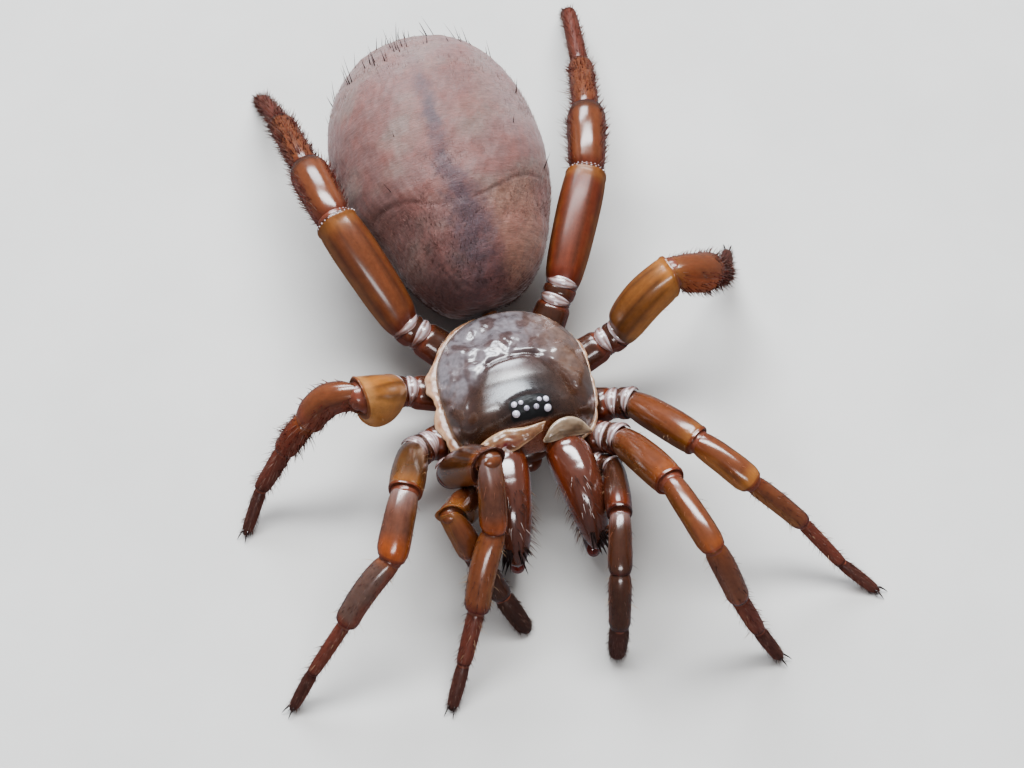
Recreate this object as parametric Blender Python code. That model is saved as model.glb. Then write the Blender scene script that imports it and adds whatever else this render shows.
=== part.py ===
# A large female trapdoor spider, life size, standing still on a flat floor.
# Metres, +Z up. The head points to -Y, the abdomen to +Y, the spider's left side is +X.
# The origin lies on the floor under the middle of the whole model.

import math
import random

import bpy
import bmesh
from mathutils import Vector

for thing in list(bpy.data.objects):
    bpy.data.objects.remove(thing, do_unlink=True)

mm = 0.001
joint_gap = 0.3 * mm

# The carapace: a low shield, highest at the head, over a flat underside.
carapace_width = 10.2 * mm
carapace_length = 10.2 * mm
carapace_rear = 0.1 * mm
carapace_across = 0.05 * mm
carapace_bottom = 5.05 * mm
carapace_rim = 0.3 * mm
head_height = 3.5 * mm
thorax_height = 2.9 * mm
rear_height = 1.6 * mm
fovea_y = -4.5 * mm
fovea_half_width = 1.9 * mm
fovea_depth = 0.45 * mm
tubercle_y = -8.5 * mm
tubercle_height = 0.35 * mm

# The abdomen: an egg with its broad end behind, hanging close to the floor.
# Its half sizes are taken at its thickest part; the front end is blunt.
abdomen_half_width = 6.7 * mm
abdomen_half_height = 5.55 * mm
abdomen_front = 7.0 * mm
abdomen_rear = 12.9 * mm
abdomen_middle = (-1.0 * mm, 7.4 * mm, 6.25 * mm)
abdomen_broadening = 0.36
abdomen_bluntness = 3.4
abdomen_turn = 2.9
abdomen_tip = 6.5
# The leg that lies along its right flank presses a shallow hollow into it.
flank_hollow = 0.9 * mm

# The chelicerae: where each one starts and ends, the right one splayed a little more.
chelicera_roots = {"left": (1.9, -10.15, 5.75), "right": (-1.75, -10.15, 5.75)}
chelicera_ends = {"left": (2.65, -16.1, 3.2), "right": (-2.4, -16.1, 3.2)}
chelicera_half_width = 1.42 * mm
chelicera_half_height = 1.6 * mm

# Lengths of femur, patella, tibia, metatarsus and tarsus; a palp has no metatarsus.
segment_lengths = {
    "leg_1": (7.4, 4.8, 4.95, 3.5, 3.05),
    "leg_2": (6.55, 4.0, 4.85, 3.85, 3.1),
    "leg_3": (5.75, 4.0, 2.85, 3.35, 3.3),
    "leg_4": (8.05, 4.9, 6.0, 6.0, 3.0),
    "palp": (5.3, 3.5, 3.65, 3.1),
}

# Largest half thickness of the same segments.
segment_radii = {
    "leg_1": (1.12, 0.88, 0.76, 0.58, 0.48),
    "leg_2": (1.1, 1.0, 0.72, 0.5, 0.44),
    "leg_3": (1.32, 1.08, 0.84, 0.62, 0.45),
    "leg_4": (1.46, 1.32, 0.95, 0.66, 0.5),
    "palp": (0.8, 0.74, 0.72, 0.6),
}

# Segments that are thicker or thinner than the same one of the other side.
segment_scale = {
    "leg_1_left_femur": 0.94, "leg_1_right_tibia": 1.16, "leg_2_left_femur": 0.94,
    "leg_2_left_patella": 0.92, "leg_2_left_tibia": 0.94, "leg_2_right_tibia": 1.12,
    "leg_3_left_patella": 1.12, "palp_right_femur": 1.1,
}

# How far the middle of some segments bows out, in millimetres.
segment_bow = {
    "leg_1_right_tibia": (-0.14, 0.0, 0.0), "leg_2_right_tibia": (-0.14, 0.06, 0.0),
    "leg_3_left_femur": (-0.26, -0.08, 0.2), "leg_3_left_patella": (0.0, -0.2, 0.0),
    "leg_3_right_femur": (0.2, -0.55, -0.15), "leg_3_right_patella": (0.05, 0.5, 0.2),
    "palp_right_femur": (0.0, -0.15, -0.1),
}

# The stance: where each femur starts, and the heading and pitch of every segment.
# A heading turns from +X towards +Y; the last segment's pitch follows from the floor.
stance = {
    "leg_1_left": ((5.45, -10.3, 5.1), (-77, 40), (-75, 1), (-48, -64), (-43, -62), (-45, 0)),
    "leg_1_right": ((-5.2, -10.0, 4.75), (-55, 63), (-99, -56), (-119, -39), (-121, -41), (-122, 0)),
    "leg_2_left": ((6.85, -7.75, 4.55), (-63, 30), (-50, -11), (-32, -43), (-47, -37), (-42, 0)),
    "leg_2_right": ((-7.0, -8.05, 4.65), (-106, 44), (-116, -24), (-148, -36), (-146, -38), (-146, 0)),
    "leg_3_left": ((7.4, -2.85, 4.7), (16, 53), (15, -37), (38, -58), (58, -54), (69, 0)),
    "leg_3_right": ((-7.4, -3.5, 4.5), (-134, 55), (174, -34), (-162, -51), (-154, -51), (-130, 0)),
    "leg_4_left": ((4.7, 1.4, 4.75), (64, 10), (76, 1), (79, -22), (83, -15), (82, 0)),
    "leg_4_right": ((-5.7, 0.8, 4.7), (116, 31), (101, -9), (100, -21), (99, -37), (99, 0)),
    "palp_left": ((4.65, -11.6, 4.0), (-101, 34), (-104, -17), (-102, -54), (-106, 0)),
    "palp_right": ((-4.05, -11.6, 3.85), (-128, 53), (-55, -61), (-56, -49), (-56, 0)),
}

# Where the coxae start along the breastbone, counted from the front pair.
coxa_starts = {"palp": (1.5, -8.7, 2.5), "leg_1": (2.3, -7.9, 2.6), "leg_2": (2.4, -6.0, 2.6),
               "leg_3": (2.4, -3.9, 2.6), "leg_4": (2.1, -2.0, 2.6)}
coxa_radii = {"palp": 0.85, "leg_1": 1.12, "leg_2": 1.12, "leg_3": 1.12, "leg_4": 1.25}
trochanter_length = 0.95

# Eyes in two close rows of four: across, along, and radius.
eye_places = {
    "eye_front_middle": (0.3, -8.72, 0.24),
    "eye_front_side": (0.95, -8.85, 0.3),
    "eye_rear_middle": (0.58, -8.14, 0.2),
    "eye_rear_side": (1.1, -8.2, 0.26),
}
eye_gap = 0.12 * mm

# Stout bristles: on each part of a leg, how many rows, at which turns from its back,
# how many in a row, how long, how far they lean forward, and between which shares of its length.
# A turn of 0 is the back of the leg, 90 its right side seen along the leg, and -90 its left.
spine_root = 0.21 * mm
spine_rows = {
    "palp": {"tibia": ((-75, 75), 3, 1.0, 40, (0.2, 0.85)), "tarsus": ((-80, 80), 3, 0.8, 40, (0.15, 0.7))},
    "leg_1": {"tibia": ((-80, 80), 4, 1.0, 45, (0.2, 0.85)), "foot": ((-85, 85), 4, 0.9, 45, (0.12, 0.85))},
    "leg_2": {"tibia": ((-80, 80), 4, 1.0, 45, (0.2, 0.85)), "foot": ((-85, 85), 4, 0.9, 45, (0.12, 0.85))},
    "leg_3": {"patella": ((-65, -22, 22, 65), 2, 1.1, 50, (0.6, 0.85)),
              "tibia": ((-60, 0, 60), 3, 1.2, 50, (0.2, 0.8)),
              "foot": ((-55, 0, 55), 3, 1.2, 50, (0.12, 0.75))},
    "leg_4": {"patella": ((-60, 60), 4, 0.9, 60, (0.15, 0.85)),
              "tibia": ((-60, 60), 4, 1.0, 60, (0.15, 0.85)),
              "foot": ((-75, 75), 3, 0.9, 60, (0.15, 0.8))},
}
digging_spines = 5
claw_length = 0.75 * mm
claw_root = 0.17 * mm

sides_of_limb = 10
sides_of_spine = 5
draw = random.Random(11)

spider = bpy.data.collections.new("trapdoor_spider")
bpy.context.scene.collection.children.link(spider)
cutters = bpy.data.collections.new("cutters")
bpy.context.scene.collection.children.link(cutters)


# Materials, one for each sub-part

def material(name, colour, roughness, metallic=0.0):
    made = bpy.data.materials.new(name)
    made.use_nodes = True
    shader = made.node_tree.nodes["Principled BSDF"]
    shader.inputs["Base Color"].default_value = (*colour, 1.0)
    shader.inputs["Roughness"].default_value = roughness
    shader.inputs["Metallic"].default_value = metallic
    return made


# Plain vectors and directions

def aim(heading, pitch):
    turn = math.radians(heading)
    rise = math.radians(pitch)
    return Vector((math.cos(turn) * math.cos(rise), math.sin(turn) * math.cos(rise), math.sin(rise)))


def blend(low, high, value):
    step = min(1.0, max(0.0, (value - low) / (high - low)))
    return step * step * (3.0 - 2.0 * step)


# Mesh helpers

def mesh_object(name, shape, home):
    bmesh.ops.remove_doubles(shape, verts=shape.verts, dist=1e-6)
    bmesh.ops.recalc_face_normals(shape, faces=shape.faces)
    mesh = bpy.data.meshes.new(name)
    shape.to_mesh(mesh)
    shape.free()
    made = bpy.data.objects.new(name, mesh)
    home.objects.link(made)
    return made


# A loft through rings: each ring is (centre, axis, half width, half height).
# The first ring fixes which way is across, and later rings carry it along.
def loft(name, rings, sides, home):
    shape = bmesh.new()
    across = rings[0][1].cross(Vector((0, 0, 1)))
    if across.length < 1e-3:
        across = Vector((1, 0, 0))
    rows = []
    for centre, axis, half_width, half_height in rings:
        axis = axis.normalized()
        across = (across - axis * across.dot(axis)).normalized()
        upward = across.cross(axis)
        row = []
        for index in range(sides):
            angle = 2.0 * math.pi * (index + 0.5) / sides
            offset = across * (half_width * math.cos(angle)) + upward * (half_height * math.sin(angle))
            row.append(shape.verts.new(centre + offset))
        rows.append(row)
    for near, far in zip(rows, rows[1:]):
        for index in range(sides):
            after = (index + 1) % sides
            shape.faces.new((near[index], near[after], far[after], far[index]))
    shape.faces.new(list(reversed(rows[0])))
    shape.faces.new(rows[-1])
    return mesh_object(name, shape, home)


def cone(name, root, direction, length, radius, home):
    shape = bmesh.new()
    bmesh.ops.create_cone(shape, cap_ends=True, segments=sides_of_spine, radius1=radius,
                          radius2=radius * 0.12, depth=length)
    turn = direction.to_track_quat("Z", "Y").to_matrix().to_4x4()
    turn.translation = root + direction.normalized() * (length / 2.0)
    bmesh.ops.transform(shape, matrix=turn, verts=shape.verts)
    return mesh_object(name, shape, home)


def ball(name, middle, half_sizes, segments, rings, home):
    shape = bmesh.new()
    bmesh.ops.create_uvsphere(shape, u_segments=segments, v_segments=rings, radius=1.0)
    for vert in shape.verts:
        vert.co = Vector([vert.co[i] * half_sizes[i] + middle[i] for i in range(3)])
    return mesh_object(name, shape, home)


# Keep the largest closed surface of a mesh and drop loose scraps.
def keep_largest(made):
    shape = bmesh.new()
    shape.from_mesh(made.data)
    bmesh.ops.remove_doubles(shape, verts=shape.verts, dist=2e-6)
    left = set(shape.faces)
    groups = []
    while left:
        start = left.pop()
        group = [start]
        queue = [start]
        while queue:
            face = queue.pop()
            for edge in face.edges:
                for other in edge.link_faces:
                    if other in left:
                        left.remove(other)
                        group.append(other)
                        queue.append(other)
        groups.append(group)
    groups.sort(key=lambda group: sum(face.calc_area() for face in group))
    for group in groups[:-1]:
        bmesh.ops.delete(shape, geom=group, context="FACES")
    shape.to_mesh(made.data)
    shape.free()


# Join extra pieces to a body with one Boolean union, and apply it.
def join(body, pieces):
    if not pieces:
        return body
    group = bpy.data.collections.new("pieces_of_" + body.name)
    bpy.context.scene.collection.children.link(group)
    for piece in pieces:
        for home in list(piece.users_collection):
            home.objects.unlink(piece)
        group.objects.link(piece)
    union = body.modifiers.new("union", "BOOLEAN")
    union.operation = "UNION"
    union.operand_type = "COLLECTION"
    union.collection = group
    union.solver = "EXACT"
    union.use_self = True
    seen = body.evaluated_get(bpy.context.evaluated_depsgraph_get())
    joined = bpy.data.meshes.new_from_object(seen)
    body.modifiers.remove(union)
    body.data = joined
    for piece in pieces:
        bpy.data.objects.remove(piece, do_unlink=True)
    bpy.data.collections.remove(group)
    keep_largest(body)
    return body


def finish(made, name, look):
    made.name = name
    made.data.name = name
    made.data.materials.clear()
    made.data.materials.append(look)
    made.data.shade_smooth()
    made.data.set_sharp_from_angle(angle=math.radians(40))
    return made


# Surfaces of the body

# Height of the shield above its flat underside, at a place inside its outline
def carapace_shape(across, along):
    front = -along / carapace_length
    crown = rear_height + (thorax_height - rear_height) * blend(0.0, 0.45, front)
    crown = crown + (head_height - thorax_height) * blend(0.6, 0.86, front)
    middle = along + carapace_length / 2.0 - carapace_rear
    half = carapace_width / 2.0 * outline_taper(along)
    power = squareness(middle)
    reach = (abs(across / half) ** power + abs(middle / (carapace_length / 2.0)) ** power) ** (1 / power)
    reach = min(reach, 1.0)
    side = 2.3 + 1.6 * blend(0.55, 0.95, front)
    height = carapace_rim + (crown - carapace_rim) * (1.0 - reach ** side) ** 0.62
    bow = fovea_y - 0.06 * across * across / mm
    fade = blend(1.25, 0.75, abs(across) / fovea_half_width)
    dip = math.exp(-((along - bow) / (0.42 * mm)) ** 2) * fade
    height = height - fovea_depth * dip
    mound = (across / (1.75 * mm)) ** 2 + ((along - tubercle_y - 0.1 * mm) / (0.95 * mm)) ** 2
    return height + tubercle_height * math.exp(-mound * mound)


def outline_taper(along):
    front = -along / carapace_length
    return 1.0 - 0.05 * blend(0.6, 1.0, front) - 0.05 * blend(0.35, 0.0, front)


# The outline is a rounded square in front and nearly round behind.
def squareness(middle):
    return 2.25 + 1.55 * blend(-0.5 * mm, -3.0 * mm, middle)


def make_carapace(look):
    shape = bmesh.new()
    turns = 36
    steps = (0.0, 0.13, 0.26, 0.39, 0.52, 0.64, 0.75, 0.84, 0.91, 0.96, 1.0)
    middle = carapace_rear - carapace_length / 2.0
    top = shape.verts.new((carapace_across, middle, carapace_bottom + carapace_shape(0.0, middle)))
    rows = []
    for step in steps[1:]:
        row = []
        for index in range(turns):
            angle = 2.0 * math.pi * index / turns
            power = squareness(math.sin(angle) * step * carapace_length / 2.0)
            wide = abs(math.cos(angle)) ** power + abs(math.sin(angle)) ** power
            reach = step / wide ** (1.0 / power)
            along = middle + math.sin(angle) * reach * carapace_length / 2.0
            across = math.cos(angle) * reach * carapace_width / 2.0 * outline_taper(along)
            height = carapace_bottom + carapace_shape(across, along)
            row.append(shape.verts.new((across + carapace_across, along, height)))
        rows.append(row)
    low = [shape.verts.new((vert.co.x, vert.co.y, carapace_bottom)) for vert in rows[-1]]
    rows.append(low)
    for index in range(turns):
        after = (index + 1) % turns
        shape.faces.new((top, rows[0][index], rows[0][after]))
        for near, far in zip(rows, rows[1:]):
            shape.faces.new((near[index], far[index], far[after], near[after]))
    shape.faces.new(low)
    return finish(mesh_object("carapace", shape, spider), "carapace", look)


# A point of the abdomen's skin from a direction on the unit ball: across, up and back
def abdomen_point(across, upward, along):
    if along < 0.0:
        round_ring = math.sqrt(max(1e-12, 1.0 - along * along))
        blunt_ring = max(0.0, 1.0 - abs(along) ** abdomen_bluntness) ** (1.0 / abdomen_bluntness)
        across = across * blunt_ring / round_ring
        upward = upward * blunt_ring / round_ring
    swell = 1.0 + abdomen_broadening * along
    x = across * swell * abdomen_half_width
    y = along * (abdomen_rear if along > 0.0 else abdomen_front)
    z = upward * swell * abdomen_half_height
    pressed = blend(0.2, 0.8, -across) * math.exp(-((y + 2.4 * mm) / (3.6 * mm)) ** 2)
    x = x + flank_hollow * pressed
    tip = math.radians(abdomen_tip)
    turn = math.radians(abdomen_turn)
    y, z = y * math.cos(tip) - z * math.sin(tip), y * math.sin(tip) + z * math.cos(tip)
    x, y = x * math.cos(turn) - y * math.sin(turn), x * math.sin(turn) + y * math.cos(turn)
    return Vector((x, y, z)) + Vector(abdomen_middle)


def make_abdomen(look):
    shape = bmesh.new()
    bmesh.ops.create_uvsphere(shape, u_segments=28, v_segments=18, radius=1.0)
    for vert in shape.verts:
        vert.co = abdomen_point(vert.co.x, vert.co.y, vert.co.z)
    return finish(mesh_object("abdomen", shape, spider), "abdomen", look)


# The joints of a limb, from its base to its tip on the floor, in metres
def limb_points(name):
    kind = name.rsplit("_", 1)[0]
    lengths = segment_lengths[kind]
    place = Vector(stance[name][0])
    points = [place.copy()]
    for length, (heading, pitch) in zip(lengths[:-1], stance[name][1:-1]):
        place = place + length * aim(heading, pitch)
        points.append(place.copy())
    drop = math.degrees(math.asin(min(0.999, place.z / lengths[-1])))
    points.append(place + lengths[-1] * aim(stance[name][-1][0], -drop))
    return [point * mm for point in points]


# The plane that halves the bend at a joint: its place and its direction
def joint_plane(points, index):
    before = (points[index] - points[index - 1]).normalized()
    after = (points[index + 1] - points[index]).normalized()
    return points[index], (before + after).normalized()


# Cut off what lies past a plane, on the side its direction points to, and close the cut.
def trim(made, place, direction):
    shape = bmesh.new()
    shape.from_mesh(made.data)
    everything = list(shape.verts) + list(shape.edges) + list(shape.faces)
    cut = bmesh.ops.bisect_plane(shape, geom=everything, dist=1e-7, plane_co=place,
                                 plane_no=direction, clear_outer=True)
    rim = [item for item in cut["geom_cut"] if isinstance(item, bmesh.types.BMEdge)]
    bmesh.ops.holes_fill(shape, edges=rim, sides=0)
    bmesh.ops.remove_doubles(shape, verts=shape.verts, dist=4e-6)
    bmesh.ops.recalc_face_normals(shape, faces=shape.faces)
    shape.to_mesh(made.data)
    shape.free()


# Rings of one segment: straight, with a round dome past each joint that is trimmed later.
# The shares along it carry how full it is there, against its largest radius.
def segment_rings(start, end, radius, fullness, bow=(0.0, 0.0, 0.0)):
    way = (end - start).normalized()
    first = fullness[0][1] * radius
    last = fullness[-1][1] * radius
    rings = [(start - way * first * 0.86, way, first * 0.5, first * 0.5),
             (start - way * first * 0.45, way, first * 0.89, first * 0.89)]
    for share, fill in fullness:
        centre = start.lerp(end, share) + Vector(bow) * mm * math.sin(math.pi * share)
        rings.append((centre, way, fill * radius * 0.97, fill * radius * 1.03))
    rings.append((end + way * last * 0.45, way, last * 0.89, last * 0.89))
    rings.append((end + way * last * 0.86, way, last * 0.5, last * 0.5))
    return rings


femur_fullness = ((0.0, 0.76), (0.14, 0.9), (0.42, 1.0), (0.75, 1.0), (0.92, 0.93), (1.0, 0.85))
patella_fullness = ((0.0, 0.78), (0.2, 0.94), (0.52, 1.02), (0.8, 1.02), (1.0, 0.82))
tibia_fullness = ((0.0, 0.78), (0.18, 0.95), (0.45, 1.0), (0.82, 0.93), (1.0, 0.76))


def make_segment(name, points, index, radius, fullness):
    radius = radius * segment_scale.get(name, 1.0)
    bow = segment_bow.get(name, (0.0, 0.0, 0.0))
    made = loft(name, segment_rings(points[index], points[index + 1], radius, fullness, bow),
                sides_of_limb, spider)
    if index > 0:
        place, direction = joint_plane(points, index)
        trim(made, place + direction * joint_gap / 2.0, -direction)
    if index + 2 < len(points):
        place, direction = joint_plane(points, index + 1)
        trim(made, place - direction * joint_gap / 2.0, direction)
    return made


# Bristles in rows along one part of a limb, their roots sunk in by about a third of its radius
def spines_on(kind, part, start, end, radius):
    if part not in spine_rows[kind]:
        return []
    turns, count, length, lean, span = spine_rows[kind][part]
    way = (end - start).normalized()
    back = (Vector((0, 0, 1)) - way * way.z).normalized()
    right = way.cross(back)
    pieces = []
    for row, turn in enumerate(turns):
        for index in range(count):
            share = span[0] + (span[1] - span[0]) * (index + 0.5 * (row % 2)) / max(1, count - 0.5)
            angle = math.radians(turn + draw.uniform(-7, 7))
            out = back * math.cos(angle) + right * math.sin(angle)
            slope = math.radians(lean + draw.uniform(-6, 6))
            direction = out * math.cos(slope) + way * math.sin(slope)
            root = start.lerp(end, share) + out * radius * 0.66
            long = (length * draw.uniform(0.9, 1.12) + 0.35) * mm
            pieces.append(cone("spine", root, direction, long, spine_root, cutters))
    return pieces


def limb_parts(name, looks):
    kind = name.rsplit("_", 1)[0]
    points = limb_points(name)
    radii = [value * mm for value in segment_radii[kind]]
    coxa_start = Vector(coxa_starts[kind]) * mm
    if name.endswith("right"):
        coxa_start.x = -coxa_start.x
    outward = (points[0] - coxa_start).normalized()

    # The trochanter is a short collar at the root of the femur, in the femur's own node.
    femur = make_segment(name + "_femur", points, 0, radii[0], femur_fullness)
    collar = trochanter_length * mm
    neck = coxa_radii[kind] * mm * 0.86
    rings = []
    for share, fill in ((-1.0, 0.78), (-0.72, 0.96), (-0.2, 1.0), (0.15, 0.97), (0.5, 0.7)):
        rings.append((points[0] + outward * collar * share, outward, neck * fill, neck * fill))
    join(femur, [loft(name + "_trochanter", rings, sides_of_limb, cutters)])
    finish(femur, name + "_femur", looks["femur"])
    patella = make_segment(name + "_patella", points, 1, radii[1], patella_fullness)
    join(patella, spines_on(kind, "patella", points[1], points[2], radii[1]))
    finish(patella, name + "_patella", looks["patella"])
    tibia = make_segment(name + "_tibia", points, 2, radii[2], tibia_fullness)
    join(tibia, spines_on(kind, "tibia", points[2], points[3], radii[2]))
    finish(tibia, name + "_tibia", looks["tibia"])

    # The foot ends with a tip that runs a little into the floor and is cut off flat there.
    last = len(points) - 2
    way = (points[-1] - points[-2]).normalized()
    rings = segment_rings(points[3], points[4], radii[3], tibia_fullness)[:-2]
    if kind != "palp":
        middle = (points[4] - points[3]).normalized() + way
        neck = radii[4] * 0.8
        rings[-1] = (points[4], middle, neck, neck)
        for share, fill in ((0.22, 0.98), (0.55, 1.0)):
            rings.append((points[4].lerp(points[5], share), way, radii[4] * fill, radii[4] * fill))
    else:
        rings = rings[:-1]
    rings.append((points[-1] - way * 0.45 * mm, way, radii[last] * 0.84, radii[last] * 0.84))
    rings.append((points[-1] + way * 0.4 * mm, way, radii[last] * 0.6, radii[last] * 0.6))
    label = name + ("_tarsus" if kind == "palp" else "_foot")
    foot = loft(label, rings, sides_of_limb, spider)
    place, direction = joint_plane(points, 3)
    trim(foot, place + direction * joint_gap / 2.0, -direction)
    trim(foot, Vector((0, 0, 0)), Vector((0, 0, -1)))
    part = "tarsus" if kind == "palp" else "foot"
    pieces = spines_on(kind, part, points[3], points[4], radii[3])
    if kind != "palp":
        pieces += claws(points[-1], way, radii[last])
    join(foot, pieces)
    for corner in foot.data.vertices:
        if abs(corner.co.z) < 4e-7:
            corner.co.z = 0.0
    finish(foot, label, looks["foot"])


# Two claws that point ahead from the tip, close over the floor
def claws(tip, way, radius):
    ahead = Vector((way.x, way.y, 0)).normalized()
    right = ahead.cross(Vector((0, 0, 1)))
    pieces = []
    for side in (-1, 1):
        root = tip - way * 0.55 * mm + right * (0.3 * radius * side) + ahead * 0.1 * mm
        root.z = max(root.z, 0.3 * mm)
        direction = (ahead + right * 0.3 * side + Vector((0, 0, -0.12))).normalized()
        pieces.append(cone("claw", root, direction, claw_length, claw_root, cutters))
    return pieces


def make_underside(look):
    core = ball("underside", (0.0, -4.9 * mm, 3.1 * mm), (3.3 * mm, 4.7 * mm, 1.2 * mm), 20, 8, spider)
    pieces = []
    labium = ball("labium", (0.0, -9.0 * mm, 2.5 * mm), (0.85 * mm, 0.95 * mm, 0.6 * mm), 10, 6, cutters)
    pieces.append(labium)
    for name in stance:
        kind = name.rsplit("_", 1)[0]
        start = Vector(coxa_starts[kind]) * mm
        if name.endswith("right"):
            start.x = -start.x
        base = limb_points(name)[0]
        way = (base - start).normalized()
        radius = coxa_radii[kind] * mm
        end = base - way * (trochanter_length * mm + joint_gap)
        reach = (end - start).length
        rings = [(start - way * 0.4 * mm, way, radius * 0.6, radius * 0.55)]
        for share, fill in ((0.2, 0.9), (0.5, 1.0), (0.8, 0.98), (0.94, 0.9), (1.0, 0.72)):
            rings.append((start + way * reach * share, way, radius * fill, radius * fill * 0.94))
        pieces.append(loft(name + "_coxa", rings, 10, cutters))
    join(core, pieces)
    return finish(core, "underside", look)


def make_chelicera(side, look):
    root = Vector(chelicera_roots[side]) * mm
    end = Vector(chelicera_ends[side]) * mm
    way = (end - root).normalized()
    front = Vector((0, -1, 0))
    rings = []
    profile = ((0.0, 0.86, 0.8), (0.06, 0.95, 0.92), (0.2, 1.0, 1.0), (0.42, 0.96, 1.02), (0.65, 0.84, 0.94),
               (0.82, 0.68, 0.78), (0.93, 0.5, 0.58), (1.0, 0.3, 0.34))
    for share, wide, tall in profile:
        arch = 0.45 * mm * math.sin(math.pi * share)
        axis = front.lerp(way, min(1.0, share * 4.0)).normalized()
        centre = root.lerp(end, share) + Vector((0, 0, arch))
        rings.append((centre, axis, chelicera_half_width * wide, chelicera_half_height * tall))
    name = "chelicera_" + side
    body = loft(name, rings, 14, spider)
    # A rake of stout digging spines stands on the upper edge of the end.
    pieces = []
    right = way.cross(Vector((0, 0, 1))).normalized()
    upward = right.cross(way)
    for index in range(digging_spines):
        angle = math.radians(-52 + 104 * index / (digging_spines - 1))
        out = upward * math.cos(angle) + right * math.sin(angle)
        centre = root.lerp(end, 0.9) + Vector((0, 0, 0.12 * mm))
        direction = out * 0.55 + way * 0.85
        root_place = centre + out * 0.42 * mm
        pieces.append(cone("digging_spine", root_place, direction, 1.25 * mm, spine_root, cutters))
    join(body, pieces)
    return finish(body, name, look)


# A fang starts under the end of its chelicera and folds back beneath it.
def make_fang(side, look):
    end = Vector(chelicera_ends[side]) * mm
    outward = 1.0 if side == "left" else -1.0
    places = []
    for step in range(8):
        share = step / 7.0
        drop = 1.35 * mm + 0.95 * mm * math.sin(math.pi * (0.1 + 0.72 * share))
        back = 0.55 * mm + 3.3 * mm * share ** 1.15
        places.append(end + Vector((-0.12 * mm * outward - 0.25 * mm * outward * share, back, -drop)))
    rings = []
    for step, place in enumerate(places):
        ahead = places[min(step + 1, 7)] - places[max(step - 1, 0)]
        radius = 0.42 * mm * (1.0 - 0.85 * (step / 7.0) ** 1.3)
        rings.append((place, ahead.normalized(), radius, radius))
    name = "fang_" + side
    return finish(loft(name, rings, 8, spider), name, look)


def make_spinneret(side, look):
    turn = math.radians(abdomen_turn)
    rear = Vector((-math.sin(turn), math.cos(turn), 0))
    across = Vector((math.cos(turn), math.sin(turn), 0))
    start = Vector(abdomen_middle) + rear * 10.3 * mm + across * (0.95 * mm * side)
    start.z = 2.75 * mm
    way = (rear + across * 0.2 * side + Vector((0, 0, -0.35))).normalized()
    rings = []
    profile = ((0.0, 0.8), (0.1, 1.0), (0.45, 0.95), (0.52, 0.8), (0.6, 0.85), (0.85, 0.7), (1.0, 0.35))
    for share, fill in profile:
        radius = 0.62 * mm * fill
        rings.append((start + way * (2.4 * mm * share), way, radius, radius))
    name = "spinneret_left" if side > 0 else "spinneret_right"
    return finish(loft(name, rings, 8, spider), name, look)


def make_pedicel(look):
    front = Vector((0.0, -0.5 * mm, 3.65 * mm))
    rear = Vector((-0.2 * mm, 0.3 * mm, 3.95 * mm))
    way = (rear - front).normalized()
    rings = []
    for share, fill in ((0.0, 0.9), (0.3, 1.0), (0.7, 1.0), (1.0, 0.9)):
        rings.append((front.lerp(rear, share), way, 0.55 * mm * fill, 0.5 * mm * fill))
    return finish(loft("pedicel", rings, 10, spider), "pedicel", look)


def make_eye(name, side, look):
    across, along, radius = [value * mm for value in eye_places[name]]
    across = across * side
    step = 0.15 * mm
    height = carapace_shape(across, along)
    slope_x = (carapace_shape(across + step, along) - carapace_shape(across - step, along)) / (2 * step)
    slope_y = (carapace_shape(across, along + step) - carapace_shape(across, along - step)) / (2 * step)
    out = Vector((-slope_x, -slope_y, 1.0)).normalized()
    foot = Vector((across + carapace_across, along, carapace_bottom + height)) + out * eye_gap
    shape = bmesh.new()
    bmesh.ops.create_uvsphere(shape, u_segments=10, v_segments=6, radius=radius)
    turn = out.to_track_quat("Z", "Y").to_matrix().to_4x4()
    turn.translation = foot + out * radius * 0.15
    bmesh.ops.transform(shape, matrix=turn, verts=shape.verts)
    everything = list(shape.verts) + list(shape.edges) + list(shape.faces)
    cut = bmesh.ops.bisect_plane(shape, geom=everything, dist=1e-7, plane_co=foot, plane_no=out,
                                 clear_inner=True)
    rim = [item for item in cut["geom_cut"] if isinstance(item, bmesh.types.BMEdge)]
    bmesh.ops.holes_fill(shape, edges=rim, sides=0)
    label = name + ("_left" if side > 0 else "_right")
    return finish(mesh_object(label, shape, spider), label, look)


# Put the parts together

make_carapace(material("carapace", (0.12, 0.07, 0.035), 0.18))
make_abdomen(material("abdomen", (0.16, 0.085, 0.085), 0.75))
make_underside(material("underside", (0.3, 0.13, 0.05), 0.4))
make_pedicel(material("pedicel", (0.3, 0.18, 0.11), 0.5))
chelicera_look = material("chelicera", (0.07, 0.02, 0.012), 0.12)
fang_look = material("fang", (0.02, 0.008, 0.006), 0.15)
spinneret_look = material("spinneret", (0.25, 0.14, 0.09), 0.6)
eye_look = material("eye", (0.02, 0.018, 0.016), 0.06)
limb_looks = {
    "femur": material("femur", (0.34, 0.12, 0.03), 0.22),
    "patella": material("patella", (0.2, 0.05, 0.02), 0.18),
    "tibia": material("tibia", (0.2, 0.06, 0.025), 0.35),
    "foot": material("foot", (0.1, 0.035, 0.025), 0.5),
}
for side_name in ("left", "right"):
    make_chelicera(side_name, chelicera_look)
    make_fang(side_name, fang_look)
for one_side in (1, -1):
    make_spinneret(one_side, spinneret_look)
    for eye_name in eye_places:
        make_eye(eye_name, one_side, eye_look)
for limb_name in stance:
    limb_parts(limb_name, limb_looks)

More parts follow.
